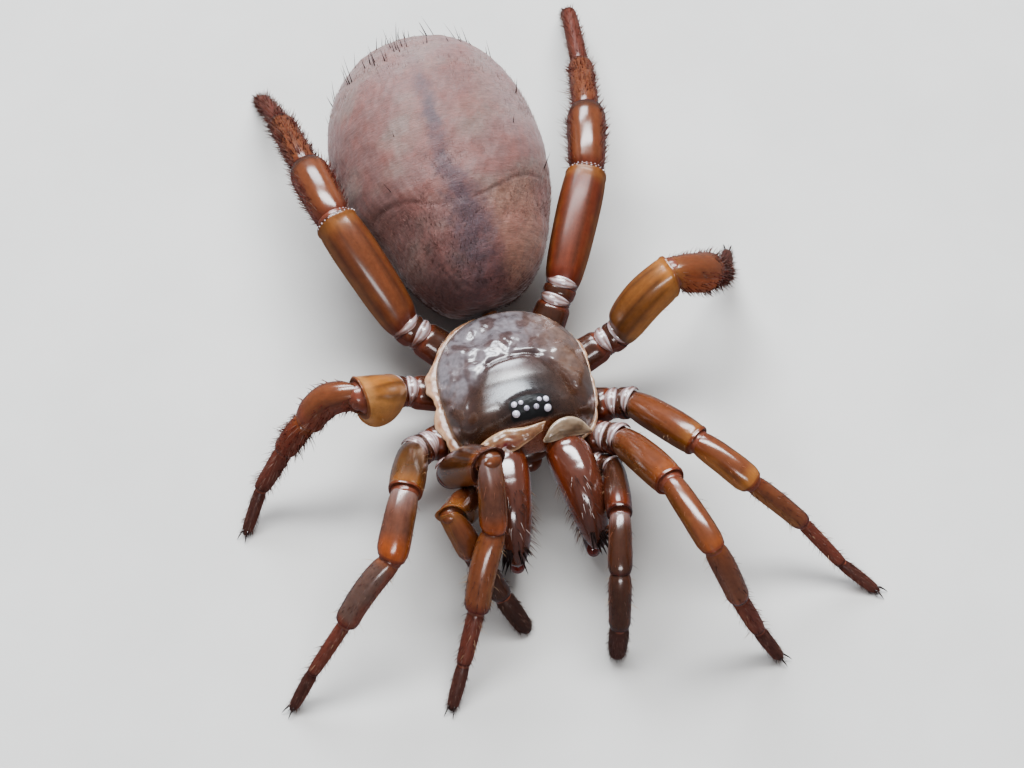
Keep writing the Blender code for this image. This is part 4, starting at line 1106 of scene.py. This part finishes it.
# The shield over the head and breast
shieldMeasures = {
    "halfWidth": 4.76, "halfLength": 5.02, "length": 10.2, "middle": -5.0, "bottom": 5.05, "edge": 0.3,
    "headHeight": 3.5, "thoraxHeight": 2.9, "rearHeight": 1.6,
    "foveaAlong": -4.5, "foveaHalf": 1.75, "foveaDepth": 0.42, "grooveDepth": 0.08, "grooveHalf": 0.34,
    "eyeAcross": 0.22, "eyeAlong": -8.45, "moundHalves": (1.55, 0.85), "moundHeight": 0.36,
    "dent": (-3.2, -4.1, 0.75, 0.38, 0.16), "rows": 150, "around": 300,
}
# The breast tint is partly the breast's own grey-brown and partly painted sheen, a painted reflection of
# light from behind.
shieldTints = {
    "head": shade(54, 36, 28), "crown": shade(32, 27, 27), "flank": shade(62, 40, 28),
    "breast": shade(124, 118, 122), "groove": shade(48, 26, 22), "edge": shade(110, 88, 70),
    "patch": shade(3, 3, 4), "shadow": shade(76, 58, 55), "warm": shade(104, 78, 62),
    "membrane": shade(122, 66, 38),
}
# Across and along: the groove round the head on one side, and the rays from the fovea
grooveLine = ((1.65, -4.7), (2.35, -5.35), (2.85, -6.2), (3.2, -7.2), (3.5, -8.3), (3.62, -9.6))
raysFromFovea = (((1.9, -4.9), (4.7, -5.9)), ((1.9, -4.2), (4.6, -3.0)), ((1.2, -3.7), (2.8, -1.2)))


# The outline is a little narrower at both ends
def outlineTaper(along):
    ahead = -along / shieldMeasures["length"]
    return 1 - 0.05 * rise(0.6, 1.0, ahead) - 0.05 * (1 - rise(0.0, 0.35, ahead))


# The power of the outline's rounded square: 3.8 in front, 2.25 and so nearly round behind
def squareness(fromMiddle):
    return 2.25 + 1.55 * (1 - rise(-3.0, -0.5, fromMiddle))


# A place in the shield's outline from a turn and a share of the way to the edge:
# a rounded square in front that turns into a round rear
def outlinePlace(turn, step):
    size = shieldMeasures
    power = squareness(np.sin(turn) * step * size["length"] / 2)
    wide = np.abs(np.cos(turn)) ** power + np.abs(np.sin(turn)) ** power
    reach = step / wide ** (1 / power)
    along = size["middle"] + np.sin(turn) * reach * size["halfLength"]
    return np.cos(turn) * reach * size["halfWidth"] * outlineTaper(along), along


def nearLine(x, y, line):  # distance to a bent line in the plane
    best = np.full(np.shape(x), 1e9)
    for (ax, ay), (bx, by) in zip(line, line[1:]):
        dx, dy = bx - ax, by - ay
        share = np.clip(((x - ax) * dx + (y - ay) * dy) / (dx * dx + dy * dy), 0, 1)
        best = np.minimum(best, np.hypot(x - ax - share * dx, y - ay - share * dy))
    return best


# The plain vault: edge + (crown - edge) times (1 - reach to a power) to the 0.62, where reach is 1 at the
# edge and the crown climbs from the rear over the thorax to the head
def shieldHeight(x, y):
    size = shieldMeasures
    ahead = -y / size["length"]
    crown = (size["rearHeight"] + (size["thoraxHeight"] - size["rearHeight"]) * rise(0.0, 0.45, ahead)
             + (size["headHeight"] - size["thoraxHeight"]) * rise(0.6, 0.86, ahead))
    fromMiddle = y - size["middle"]
    power = squareness(fromMiddle)
    half = size["halfWidth"] * outlineTaper(y)
    reach = (np.abs(x / half) ** power + np.abs(fromMiddle / size["halfLength"]) ** power) ** (1 / power)
    reach = np.minimum(reach, 1.0)
    steep = 2.3 + 1.6 * rise(0.55, 0.95, ahead)
    return size["edge"] + (crown - size["edge"]) * (1 - reach ** steep) ** 0.62, reach


# What is added to the vault: the head's dome and the eye mound up, the groove, rays, fovea and dent down,
# and on the thorax soft waves, flame-like ridges from the fovea and fine wrinkles near the edge
def shieldRelief(x, y, reach):
    size, side, places = shieldMeasures, np.abs(x), joined(x, y, 0)
    groove = np.exp(-(nearLine(side, y, grooveLine) / size["grooveHalf"]) ** 2)
    rays = sum(np.exp(-(nearLine(side, y, line) / size["grooveHalf"]) ** 2) for line in raysFromFovea)
    bow = y - size["foveaAlong"] + 0.06 * x * x
    fovea = np.exp(-(bow / 0.26) ** 2) * (1 - rise(0.8, 1.1, side / size["foveaHalf"]))
    apron = np.exp(-(bow / 0.75) ** 2) * (1 - rise(0.7, 1.3, side / size["foveaHalf"]))
    grooveAcross, grooveAlong = np.transpose(grooveLine)
    inHead = (1 - rise(-0.5, 0.6, bow)) * (
        1 - rise(-0.4, 1.3, side - np.interp(-y, -grooveAlong, grooveAcross) + 0.45))
    thorax = 1 - inHead
    spin = np.arctan2(y + 4.6, x - 0.15)
    flames = np.sin(13 * spin + 1.6 * waves(places, 1.3, 33)) * bump(2.4, 1.5, np.hypot(x - 0.15, y + 4.6))
    dentAcross, dentAlong, dentWide, dentLong, dentDepth = size["dent"]
    dent = np.exp(-((x - dentAcross) / dentWide) ** 2 - ((y - dentAlong) / dentLong) ** 2)
    dome = 0.32 * np.exp(-(x / 1.65) ** 2) * bump(-7.4, 2.9, y)
    uneven = (0.12 * waves(places, 2.2, 23) + 0.035 * waves(places, 0.9, 29)
              + 0.025 * flames * rise(-4.3, -3.6, y))
    relief = (0.08 * inHead + dome - size["grooveDepth"] * groove - 0.1 * rays * thorax
              - 0.5 * size["foveaDepth"] * fovea - 0.1 * apron + thorax * uneven - dentDepth * dent)
    wrinkles = np.sin(np.arctan2(y - size["middle"], x) * 64 + 4 * waves(places, 2.0, 37))
    relief = relief + 0.01 * wrinkles * bump(0.74, 0.14, reach) * thorax
    mound = (((x - size["eyeAcross"]) / size["moundHalves"][0]) ** 2
             + ((y - size["eyeAlong"]) / size["moundHalves"][1]) ** 2)
    relief = (relief * (1 - rise(0.86, 0.99, reach)) + size["moundHeight"] * np.exp(-mound ** 2)
              + 0.015 * waves(places, 0.35, 39) * np.exp(-mound))
    return relief, groove, fovea, inHead


def shieldSurface(x, y):  # the height above the floor
    height, reach = shieldHeight(x, y)
    return shieldMeasures["bottom"] + height + shieldRelief(x, y, reach)[0]


# Rings from the middle to the edge at the vault's height and relief, then three rings down and inwards,
# which close it below
def makeShield():
    size, tints = shieldMeasures, shieldTints
    turn = -fullTurn(size["around"])[None, :]
    step = (1 - (1 - np.linspace(0, 1, size["rows"])) ** 1.5)[1:, None]
    x, y = outlinePlace(turn, step)
    height, reach = shieldHeight(x, y)
    relief, groove, fovea, inHead = shieldRelief(x, y, reach)
    top = joined(x, y, size["bottom"] + height + relief)
    side, places = np.abs(x), joined(x, y, 0)
    head = mixed(tints["head"], tints["crown"], bump(-7.7, 1.7, y) * bump(0.2, 1.8, x))
    head = mixed(head, tints["shadow"], (1 - rise(0.4, 2.2, side)) * rise(-6.6, -5.2, y) * 0.8)
    head = mixed(head, tints["flank"], rise(1.4, 3.0, np.abs(x - 0.2)) * (1 - rise(-6.4, -5.2, y)) * 0.75)
    patch = 1 - rise(0.75, 1.1, ((x - size["eyeAcross"]) / 1.32) ** 4 + ((y - size["eyeAlong"]) / 0.66) ** 4
                     + 0.2 * waves(places, 0.6, 45))
    tint = tints["breast"]
    for over, share in (
            # patches of painted shade break up the painted sheen of the breast
            (tints["shadow"], rise(-0.2, 0.9, waves(places, 1.5, 41)) * 0.8),
            (tints["groove"], rise(0.2, 1.1, waves(places, 0.7, 42)) * 0.35),
            # toward the left side the warm tint takes the place of the painted sheen
            (tints["warm"], rise(0.6, 3.4, x) * 0.8),
            (tints["shadow"], bump(0, 3.2, x) * bump(-3.6, 1.0, y) * 0.6),
            (tints["flank"], (1 - rise(-7.0, -5.0, y)) * 0.85),
            (head, inHead),
            (tints["groove"], np.clip(0.55 * groove + fovea, 0, 1) * 0.75),
            (tints["edge"], rise(0.93, 0.985, reach) * 0.5),
            (tints["membrane"], (1 - rise(-9.55, -9.0, y)) * (1 - rise(2.6, 3.4, side))),
            (tints["patch"], patch)):
        tint = mixed(tint, over, share)
    dull = 0.2 + 0.08 * inHead + 0.4 * patch
    x, y = top[-1, :, 0], top[-1, :, 1]
    under = np.stack([top[-1] + [0, 0, -0.18], joined(x * 0.985, -5 + (y + 5) * 0.985, 5.02),
                      joined(x * 0.7, -5 + (y + 5) * 0.7, 5.0)])
    peak = float(shieldSurface(np.array(0.0), np.array(size["middle"])))
    shape = Shape()
    shape.addRings(np.concatenate([top, under]), [0.0, size["middle"], peak], [0.0, size["middle"], 5.0],
                   np.concatenate([tint, np.repeat(tint[-1:], 3, 0)]),
                   np.concatenate([dull, np.repeat(dull[-1:], 3, 0)]))
    shape.toPiece("shield_plate", shieldFinish, "carapace", ["carapace"])


makeShield()

rimMeasures = {"width": 0.34, "lobe": 0.34, "thick": 0.26, "lobes": (-3.9, -6.7, -8.9), "lobeHalf": 1.15,
               "leftShare": 0.35, "height": 5.2, "inset": 0.985, "rings": 420, "around": 16,
               "light": shade(176, 144, 118), "deep": shade(132, 92, 66)}


# The soft scalloped skin that shows along the shield's edge: a flattened roll along the outline, wide
# between the legs and wider on the right side. The roll hangs lower the farther out it is.
def makeRim():
    size = rimMeasures
    x, y = outlinePlace(-fullTurn(size["rings"]), size["inset"])
    centre = joined(x, y, size["height"])
    along = unit(np.roll(centre, -1, 0) - np.roll(centre, 1, 0))
    outward = np.cross(along, [0, 0, -1.0])
    fromMiddle = centre - [0, shieldMeasures["middle"], size["height"]]
    outward = outward * np.sign(np.sum(outward * fromMiddle, -1, keepdims=True))
    lobes = sum(np.maximum(0, 1 - ((y - place) / size["lobeHalf"]) ** 2) for place in size["lobes"])
    share = rise(0.5, 2.5, -x) + rise(0.5, 2.5, x) * size["leftShare"]
    width = 0.03 + size["width"] * share + size["lobe"] * lobes * share + 0.04 * waves(centre, 0.8, 43)
    rolls = fullTurn(size["around"])[None, :]
    out = width[:, None] * (0.5 + 0.62 * np.cos(rolls))
    lift = (size["thick"] * np.sin(rolls) * (0.6 + 0.2 * np.cos(rolls))
            - 0.22 * width[:, None] * (1 + np.cos(rolls)))
    rings = centre[:, None] + outward[:, None] * out[..., None] + np.array([0, 0, 1.0]) * lift[..., None]
    tint = mixed(size["deep"], size["light"], rise(-0.3, 0.8, np.cos(rolls) + 0.5 * waves(rings, 0.9, 47)))
    rings[..., 2] += 0.012 * waves(rings, 0.6, 49)
    shape = Shape()
    shape.add(rings, gridQuads(size["rings"], size["around"], True), (), tint, 0.26)
    shape.toPiece("shield_rim", rimFinish, "carapace")


makeRim()

# Places along the upper and the lower line of each lobe, from right to left
petalMeasures = {
    "right": {"upper": ((-3.61, -9.84, 6.9), (-2.58, -9.4, 7.3), (-1.56, -9.25, 7.6), (-0.37, -9.43, 7.8),
                        (0.93, -9.38, 7.9)),
              "lower": ((-3.65, -9.99, 6.8), (-2.95, -10.41, 6.9), (-2.18, -10.53, 7.05),
                        (-1.13, -10.52, 7.2), (0.64, -9.84, 7.6)), "bulge": 0.16,
              "tint": shade(122, 90, 66), "stain": shade(84, 38, 34), "edge": shade(176, 146, 116)},
    "left": {"upper": ((0.53, -10.3, 7.2), (1.24, -9.63, 7.7), (2.18, -9.35, 7.8), (3.01, -9.53, 7.5),
                       (3.62, -10.13, 6.9)),
             "lower": ((0.57, -10.39, 7.1), (1.11, -10.46, 7.1), (1.94, -10.35, 7.05), (2.83, -10.29, 6.9),
                       (3.6, -10.21, 6.8)), "bulge": 0.2,
             "tint": shade(122, 104, 86), "stain": shade(86, 68, 54), "edge": shade(166, 148, 128)},
}
petalSheet = {"rows": 60, "columns": 26, "out": (0, -0.75, 0.66), "thick": 0.09, "clear": 0.05}


# Two soft lobes of skin over the roots of the chelicerae: a sheet between an upper and a lower line,
# blown up in the middle, with its own thickness and a wall round its border
def makePetal(side):
    look, size = petalMeasures[side], petalSheet
    rows, columns = size["rows"], size["columns"]
    knots = np.linspace(0, 1, 5)
    u, v = np.linspace(0, 1, rows)[:, None], np.linspace(0, 1, columns)[None, :]
    upper, lower = [through(knots, look[line], u[:, 0])[:, None] for line in ("upper", "lower")]
    sheet = upper * (1 - v[..., None]) + lower * v[..., None]
    sheet[..., 2] = np.maximum(sheet[..., 2], shieldSurface(sheet[..., 0], sheet[..., 1]) + size["clear"])
    out = unit(np.array(size["out"]))
    swell = (look["bulge"] * np.sin(math.pi * np.clip(u, 0.02, 0.98)) ** 0.6
             * np.sin(math.pi * v ** 0.8) ** 0.8)
    creases = 0.007 * np.sin(9 * math.pi * v + 2.5 * waves(sheet, 2.0, 55)) * np.sin(math.pi * u) ** 0.5
    front = sheet + out * (swell + 0.05 * waves(sheet, 1.4, 53) + creases)[..., None]
    points = np.concatenate([front.reshape(-1, 3), (sheet - out * size["thick"]).reshape(-1, 3)])
    frontQuads = gridQuads(rows, columns, False, False)
    backQuads = frontQuads[:, ::-1] + rows * columns
    border = np.concatenate([np.arange(columns), (np.arange(1, rows) + 1) * columns - 1,
                             (rows - 1) * columns + np.arange(columns - 2, -1, -1),
                             np.arange(rows - 2, 0, -1) * columns])
    after = np.roll(border, -1)
    walls = np.stack([after, border, border + rows * columns, after + rows * columns], -1)
    tint = mixed(look["tint"], look["stain"],
                 bump(0.6, 0.22, u) * bump(0.62, 0.22, v) * 0.85 + 0.4 * rise(0, 1, waves(sheet, 0.8, 59)))
    tint = mixed(tint, look["edge"], np.clip(bump(0.02, 0.1, v) + bump(0.98, 0.08, v), 0, 1) * 0.7)
    shape = Shape()
    shape.add(points, np.concatenate([frontQuads, backQuads, walls]), (), np.stack([tint, tint]), 0.24)
    shape.toPiece("brow_lobe_" + side, rimFinish, "carapace")


makePetal("right")
makePetal("left")
print("stage: shield")

# Eight eyes on the dark mound: across from its middle, along, radius and colour of each pair
# The pale colours are partly the lenses' own pearly white and partly a painted reflection of the light.
eyeLooks = {
    "eye_front_middle": (0.3, -8.62, 0.2, shade(150, 146, 158)),
    "eye_front_side": (0.97, -8.75, 0.27, shade(196, 192, 204)),
    "eye_rear_middle": (0.57, -8.25, 0.17, shade(190, 186, 198)),
    "eye_rear_side": (0.98, -8.25, 0.22, shade(196, 192, 204)),
}
eyeMeasures = {"sunk": 0.35, "tall": 1.02, "ring": shade(12, 10, 10), "rings": 16, "around": 32}


# A dome square to the shield's slope: foot + out tall sin climb + (across cos turn + ahead sin turn)
# cos climb, times the radius
def makeEye(name, side):
    (apart, along, radius, lens), size = eyeLooks[name], eyeMeasures
    x, y, step = np.array(shieldMeasures["eyeAcross"] + apart * side), np.array(along), 0.1
    out = unit(np.array([-(shieldSurface(x + step, y) - shieldSurface(x - step, y)) / (2 * step),
                         -(shieldSurface(x, y + step) - shieldSurface(x, y - step)) / (2 * step), 1.0]))
    across = unit(np.cross(out, [0, 1.0, 0]))
    ahead = np.cross(out, across)
    foot = joined(x, y, shieldSurface(x, y)) - out * radius * size["sunk"]
    climb = np.linspace(-0.2 * math.pi, 0.49 * math.pi, size["rings"])[:, None]
    turn = fullTurn(size["around"])[None, :]
    rings = (foot + out * (np.sin(climb) * radius * size["tall"])[..., None]
             + across * (np.cos(turn) * np.cos(climb) * radius)[..., None]
             + ahead * (np.sin(turn) * np.cos(climb) * radius)[..., None])
    # the lens colour, partly painted reflection, rises from a dark ring at the foot
    tint = mixed(size["ring"], lens, rise(0.3, 0.62, np.sin(climb)))
    shape = Shape()
    shape.addRings(rings, rings[0].mean(0), foot + out * radius * size["tall"], tint, 0.06)
    node = name + ("_left" if side > 0 else "_right")
    shape.toPiece(node + "_dome", eyeFinish, "eye", [node])


for eyeName in eyeLooks:
    for eyeSide in (1, -1):
        makeEye(eyeName, eyeSide)
print("stage: eyes")

cheliceraMeasures = {
    "roots": {"left": (1.9, -10.15, 5.75), "right": (-1.75, -10.15, 5.75)},
    "ends": {"left": (2.65, -16.1, 3.2), "right": (-2.4, -16.1, 3.2)},
    "halfWidth": 1.42, "halfHeight": 1.6, "arch": 0.85, "flattened": 0.07, "rings": 90, "around": 72,
    "shares": (0, 0.06, 0.2, 0.42, 0.65, 0.82, 0.93, 1.0),
    "wide": (0.86, 0.95, 1.0, 0.96, 0.84, 0.68, 0.5, 0.3),
    "tall": (0.8, 0.92, 1.0, 1.02, 0.94, 0.78, 0.58, 0.34),
}
cheliceraTints = {"back": shade(84, 48, 37), "flank": shade(100, 53, 36), "inner": shade(120, 56, 30),
                  "belly": shade(62, 30, 20)}
# Bands of bristles: how many, from and to which share along, the same in degrees of turn from the inner
# side, length, width, lean, colour, joints of a bristle and how unruly they are. Two bands run along the
# back, then come a fringe down the inner side, two on the flanks and the rake of digging spines.
cheliceraBands = (
    (30, (0.34, 0.9), (60, 104), 0.75, 0.024, 0.9, (60, 40, 34), 4, 0.18),
    (12, (0.34, 0.75), (50, 110), 0.6, 0.02, 1.1, (190, 178, 172), 4, 0.18),
    (24, (0.35, 0.9), (-10, 30), 0.7, 0.018, 0.9, (110, 88, 76), 4, 0.18),
    (50, (0.6, 0.97), (-80, 0), 0.7, 0.022, 0.9, (80, 44, 34), 4, 0.18),
    (30, (0.3, 0.9), (120, 200), 0.45, 0.018, 0.9, (96, 60, 44), 3, 0.18),
    (16, (0.86, 0.97), (40, 150), 0.95, 0.12, 1.5, (30, 16, 13), 5, 0.08),
)


# A place on a chelicera, the way out of it there and its axis. The centre runs from root to end in an arch,
# and the section is an oval of the width and height at that share, a little flattened on the inner side.
def cheliceraAt(side, share, turn):
    size = cheliceraMeasures
    root, end = np.array(size["roots"][side]), np.array(size["ends"][side])
    share, turn = np.broadcast_arrays(share, turn)
    axis = unit(mixed(np.array([0, -1.0, 0]), unit(end - root), np.clip(share * 4, 0, 1)))
    across = unit(np.cross([0, 0, 1.0], axis))
    up = np.cross(axis, across)
    centre = (root + (end - root) * share[..., None]
              + np.array([0, 0, 1.0]) * (size["arch"] * np.sin(math.pi * share))[..., None])
    wide = through(size["shares"], size["wide"], share) * size["halfWidth"]
    tall = through(size["shares"], size["tall"], share) * size["halfHeight"]
    inward = np.clip(np.cos(turn) * (-1 if side == "left" else 1), 0, 1)
    wide = wide * (1 - size["flattened"] * inward ** 2)
    point = centre + across * (np.cos(turn) * wide)[..., None] + up * (np.sin(turn) * tall)[..., None]
    return point, across * np.cos(turn)[..., None] + up * np.sin(turn)[..., None], axis


# The horn: closed rings along the chelicera, tinted from the belly up. Then its bands of bristles.
def makeChelicera(side, seed):
    size, tints = cheliceraMeasures, cheliceraTints
    share = (0.5 - 0.5 * np.cos(math.pi * np.linspace(0.0, 1, size["rings"])))[:, None]
    turn = fullTurn(size["around"])[None, :]
    rings, _, axis = cheliceraAt(side, share, turn)
    inner, high = np.cos(turn) * (-1 if side == "left" else 1), np.sin(turn)
    tint = mixed(tints["belly"], tints["flank"], rise(-0.7, 0.0, high))
    tint = mixed(tint, tints["back"], rise(0.25, 0.8, high))
    glow = rise(0.45, 1.0, inner) * rise(-0.5, 0.2, high) * (1 - rise(0.4, 0.85, share))
    tint = mixed(tint, tints["inner"], glow * 0.8)
    tint = mixed(tint, tints["flank"], rise(0.3, 0.9, -inner) * 0.5)
    tint = mixed(tint, tints["inner"], (1 - rise(0.0, 0.1, share)) * 0.3)
    grain = joined(np.cos(turn) * 1.4, np.sin(turn) * 1.4, share * 6.5) + size["roots"][side]
    horn, coat = Shape(), Shape()
    horn.addRings(rings, rings[0].mean(0), rings[-1].mean(0) + axis[-1, 0] * 0.18, tint, 0.14, grain)
    horn.toPiece("chelicera_" + side + "_horn", cheliceraFinish, "chelicera", ["chelicera_" + side])
    draw = np.random.default_rng(seed)
    for count, shareRange, turnRange, length, width, lean, colour, bits, unruly in cheliceraBands:
        shares = draw.uniform(*shareRange, count)
        turns = np.radians(draw.uniform(*turnRange, count))
        turns = turns if side == "right" else math.pi - turns
        points, outs, axes = cheliceraAt(side, shares, turns)
        ways = outs + axes * lean + draw.normal(0, unruly, (count, 3))
        addHairs(coat, points - outs * 0.06, ways, axes * 0.2, length * draw.uniform(0.6, 1.3, count),
                 width * draw.uniform(0.8, 1.2, count), np.tile(shade(*colour), (count, 1)),
                 patchPlaces(turns, shares), bits)
    coat.toPiece("chelicera_" + side + "_hair", hairFinish, "chelicera", baked=True)


fangMeasures = {"drop": (1.35, 0.95), "swing": (0.1, 0.72), "back": (0.55, 3.3, 1.15),
                "inward": (0.12, 0.25), "radius": 0.44, "taper": (0.93, 1.25), "tall": 1.1,
                "rings": 40, "around": 28, "root": shade(96, 30, 16), "tip": shade(20, 8, 8)}


# A fang: a cone along a bow that starts under the chelicera's end, drops in a part of a sine wave and runs
# back and a little inwards
def makeFang(side):
    size, outward = fangMeasures, 1.0 if side == "left" else -1.0
    share = np.linspace(0, 1, size["rings"])[:, None]
    swing = math.pi * (size["swing"][0] + size["swing"][1] * share)
    drop = size["drop"][0] + size["drop"][1] * np.sin(swing)
    back = size["back"][0] + size["back"][1] * share ** size["back"][2]
    inward = -size["inward"][0] * outward - size["inward"][1] * outward * share
    spine = cheliceraMeasures["ends"][side] + np.concatenate([inward, back, -drop], 1)
    way = unit(np.gradient(spine, axis=0))
    radius = size["radius"] * (1 - size["taper"][0] * share ** size["taper"][1])
    rings = ringsRound(spine, *crossways(way), fullTurn(size["around"]), radius, size["tall"])
    tint = mixed(size["root"], size["tip"], rise(0.0, 0.35, share))
    shape = Shape()
    shape.addRings(rings, spine[0] - way[0] * 0.25, spine[-1] + way[-1] * 0.06, tint, 0.1)
    shape.toPiece("fang_" + side + "_horn", fangFinish, "fang", ["fang_" + side])


for cheliceraSide, cheliceraSeed in (("left", 97), ("right", 98)):
    makeChelicera(cheliceraSide, cheliceraSeed)
    makeFang(cheliceraSide)
print("stage: chelicerae")

spinneretMeasures = {
    "length": 2.4, "radius": 0.62, "behind": 10.3, "apart": 0.95, "height": 2.75, "splay": 0.2,
    "droop": -0.35,
    "shares": (0, 0.08, 0.3, 0.42, 0.47, 0.53, 0.7, 0.8, 0.84, 0.9, 1.0),
    "full": (0.8, 0.98, 1.0, 0.9, 0.76, 0.84, 0.86, 0.74, 0.62, 0.64, 0.36),
    "rings": 46, "around": 32, "light": shade(150, 112, 88), "deep": shade(104, 74, 60),
    "hairs": 260, "hairLength": (0.25, 0.5), "hairWidth": 0.014, "hairTint": shade(96, 72, 62),
}


# A spinneret: round rings along a straight way, as full as the jointed finger is there
def makeSpinneret(side):
    size, word = spinneretMeasures, "left" if side > 0 else "right"
    turnBody = math.radians(abdomenMeasures["turn"])
    rear = np.array([-math.sin(turnBody), math.cos(turnBody), 0])
    across = np.array([math.cos(turnBody), math.sin(turnBody), 0])
    start = np.array(abdomenMeasures["middle"]) + rear * size["behind"] + across * size["apart"] * side
    start[2] = size["height"]
    way = unit(rear + across * size["splay"] * side + np.array([0, 0, size["droop"]]))
    beside, up = crossways(way)
    share = np.linspace(0, 1, size["rings"])[:, None]
    full = through(size["shares"], size["full"], share) * size["radius"]
    rings = ringsRound(start + way * (share * size["length"]), beside, up, fullTurn(size["around"]), full)
    tint = mixed(size["light"], size["deep"], rise(-0.5, 0.8, waves(rings, 0.7, 61)))
    skin, coat = Shape(), Shape()
    skin.addRings(rings, start, start + way * size["length"], tint, 0.5)
    skin.toPiece("spinneret_" + word + "_skin", abdomenFinish, "spinneret", ["spinneret_" + word])
    draw, count = np.random.default_rng(101 + side), size["hairs"]
    shares, turns = draw.uniform(0.08, 0.97, count), draw.uniform(0, 2 * math.pi, count)
    outs = beside * np.cos(turns)[:, None] + up * np.sin(turns)[:, None]
    depth = through(size["shares"], size["full"], shares) * size["radius"] - 0.03
    roots = start + way * (shares * size["length"])[:, None] + outs * depth[:, None]
    addHairs(coat, roots, outs + way * 0.9, way * 0.2, draw.uniform(*size["hairLength"], count),
             np.full(count, size["hairWidth"]), np.tile(size["hairTint"], (count, 1)),
             patchPlaces(turns, shares))
    coat.toPiece("spinneret_" + word + "_hair", hairFinish, "spinneret", baked=True)


for spinneretSide in (1, -1):
    makeSpinneret(spinneretSide)

waistMeasures = {"front": (0, -0.6, 3.65), "rear": (-0.2, 0.9, 3.95), "radius": 0.52, "tall": 0.92,
                 "rings": 40, "around": 32, "ringed": 5, "wave": 0.05,
                 "light": shade(150, 96, 60), "deep": shade(96, 56, 40)}


# The waist: round rings along a straight way, with five low waves along it
def makeWaist():
    size = waistMeasures
    front, rear = np.array(size["front"]), np.array(size["rear"])
    share = np.linspace(0, 1, size["rings"])[:, None]
    wave = np.cos(2 * math.pi * size["ringed"] * share)
    rings = ringsRound(front + (rear - front) * share, *crossways(unit(rear - front)),
                       fullTurn(size["around"]), size["radius"] * (1 + size["wave"] * wave), size["tall"])
    shape = Shape()
    shape.addRings(rings, front, rear, mixed(size["light"], size["deep"], 0.5 + 0.5 * wave), 0.35)
    shape.toPiece("waist", limbFinish, "underside", ["pedicel"])


makeWaist()
print("stage: spinnerets and waist")

floorLooks = {"colour": (0.52, 0.505, 0.485), "half": 0.6, "roughness": 0.75, "cloud": (60.0, 4.0, 0.6)}


def makeFloor():
    look, half = floorLooks, floorLooks["half"]
    mesh = bpy.data.meshes.new("floor")
    mesh.from_pydata([(-half, -half, 0), (half, -half, 0), (half, half, 0), (-half, half, 0)], [],
                     [(0, 1, 2, 3)])
    floor = bpy.data.objects.new("floor", mesh)
    bpy.context.scene.collection.objects.link(floor)
    paper = Finish("floor_paper", Specular_IOR_Level=0.25)
    cloud = paper.noise(paper.node("ShaderNodeTexCoord", {}, {}, "Object"), *look["cloud"])
    colour = paper.scaled(look["colour"], paper.ranged(cloud, 0.3, 0.7, 0.96, 1.03))
    mesh.materials.append(paper.finish(colour, look["roughness"] + (cloud - 0.5) * 0.1))
    floor.visible_glossy = False  # the pale floor would wash out the horn's own colour


makeFloor()


# Puts a camera or a lamp at an azimuth, an elevation and a distance from its target, and turns it there
def addAimed(name, data, target, azimuth, elevation, distance, scale=1.0):
    turn, lift = math.radians(azimuth), math.radians(elevation)
    back = Vector((math.sin(turn) * math.cos(lift), -math.cos(turn) * math.cos(lift), math.sin(lift)))
    made = bpy.data.objects.new(name, data)
    made.location = target + back * distance * scale
    made.rotation_mode = "QUATERNION"
    made.rotation_quaternion = (-back).to_track_quat("-Z", "Y")
    bpy.context.scene.collection.objects.link(made)
    return made


cameraLooks = {"azimuth": -13.5, "elevation": 62.0, "distance": 115.0, "target": (-0.35, -6.0, 7.0),
               "sensor": 36.0, "pixelsToTarget": 1885.0, "pixelsWide": 1024.0}


def makeCamera():
    look = cameraLooks
    data = bpy.data.cameras.new("camera")
    data.sensor_width, data.sensor_fit = look["sensor"], "HORIZONTAL"
    data.lens = look["pixelsToTarget"] / look["pixelsWide"] * look["sensor"]
    data.clip_start, data.clip_end = 0.005, 5.0
    target = Vector(look["target"]) * mm + Vector(bodyOrigin)
    bpy.context.scene.camera = addAimed("camera", data, target, look["azimuth"], look["elevation"],
                                        look["distance"], mm)


makeCamera()

# Softboxes: azimuth and elevation from the model, distance, size, power, colour, and whether they mirror
lightLooks = {
    "key": (172.0, 67.0, 0.42, (0.5, 0.14), 3.4, (0.93, 0.97, 1.0), True),
    "behind": (184.0, 38.0, 0.5, (0.34, 0.16), 2.0, (0.86, 0.93, 1.0), True),
    "front": (-12.0, 40.0, 0.5, (0.26, 0.1), 0.8, (0.95, 0.97, 1.0), True),
    "wide": (60.0, 80.0, 0.6, (0.6, 0.6), 1.0, (1.0, 0.98, 0.95), False),
}
roomLooks = {"target": (0.0, -0.003, 0.006), "sky": (0.86, 0.9, 1.0, 1.0), "skyStrength": 0.22,
             "contrast": "AgX - Medium High Contrast"}


def makeLights():
    for name, (azimuth, elevation, distance, size, power, colour, mirrored) in lightLooks.items():
        data = bpy.data.lights.new(name, "AREA")
        data.shape, (data.size, data.size_y), data.energy, data.color = "ELLIPSE", size, power, colour
        lamp = addAimed(name, data, Vector(roomLooks["target"]), azimuth, elevation, distance)
        lamp.visible_glossy = mirrored
    world = bpy.data.worlds.new("studio")
    world.use_nodes = True
    background = world.node_tree.nodes["Background"]
    background.inputs["Color"].default_value = roomLooks["sky"]
    background.inputs["Strength"].default_value = roomLooks["skyStrength"]
    bpy.context.scene.world = world
    bpy.context.scene.view_settings.look = roomLooks["contrast"]


makeLights()
print("stage: floor, camera and light")
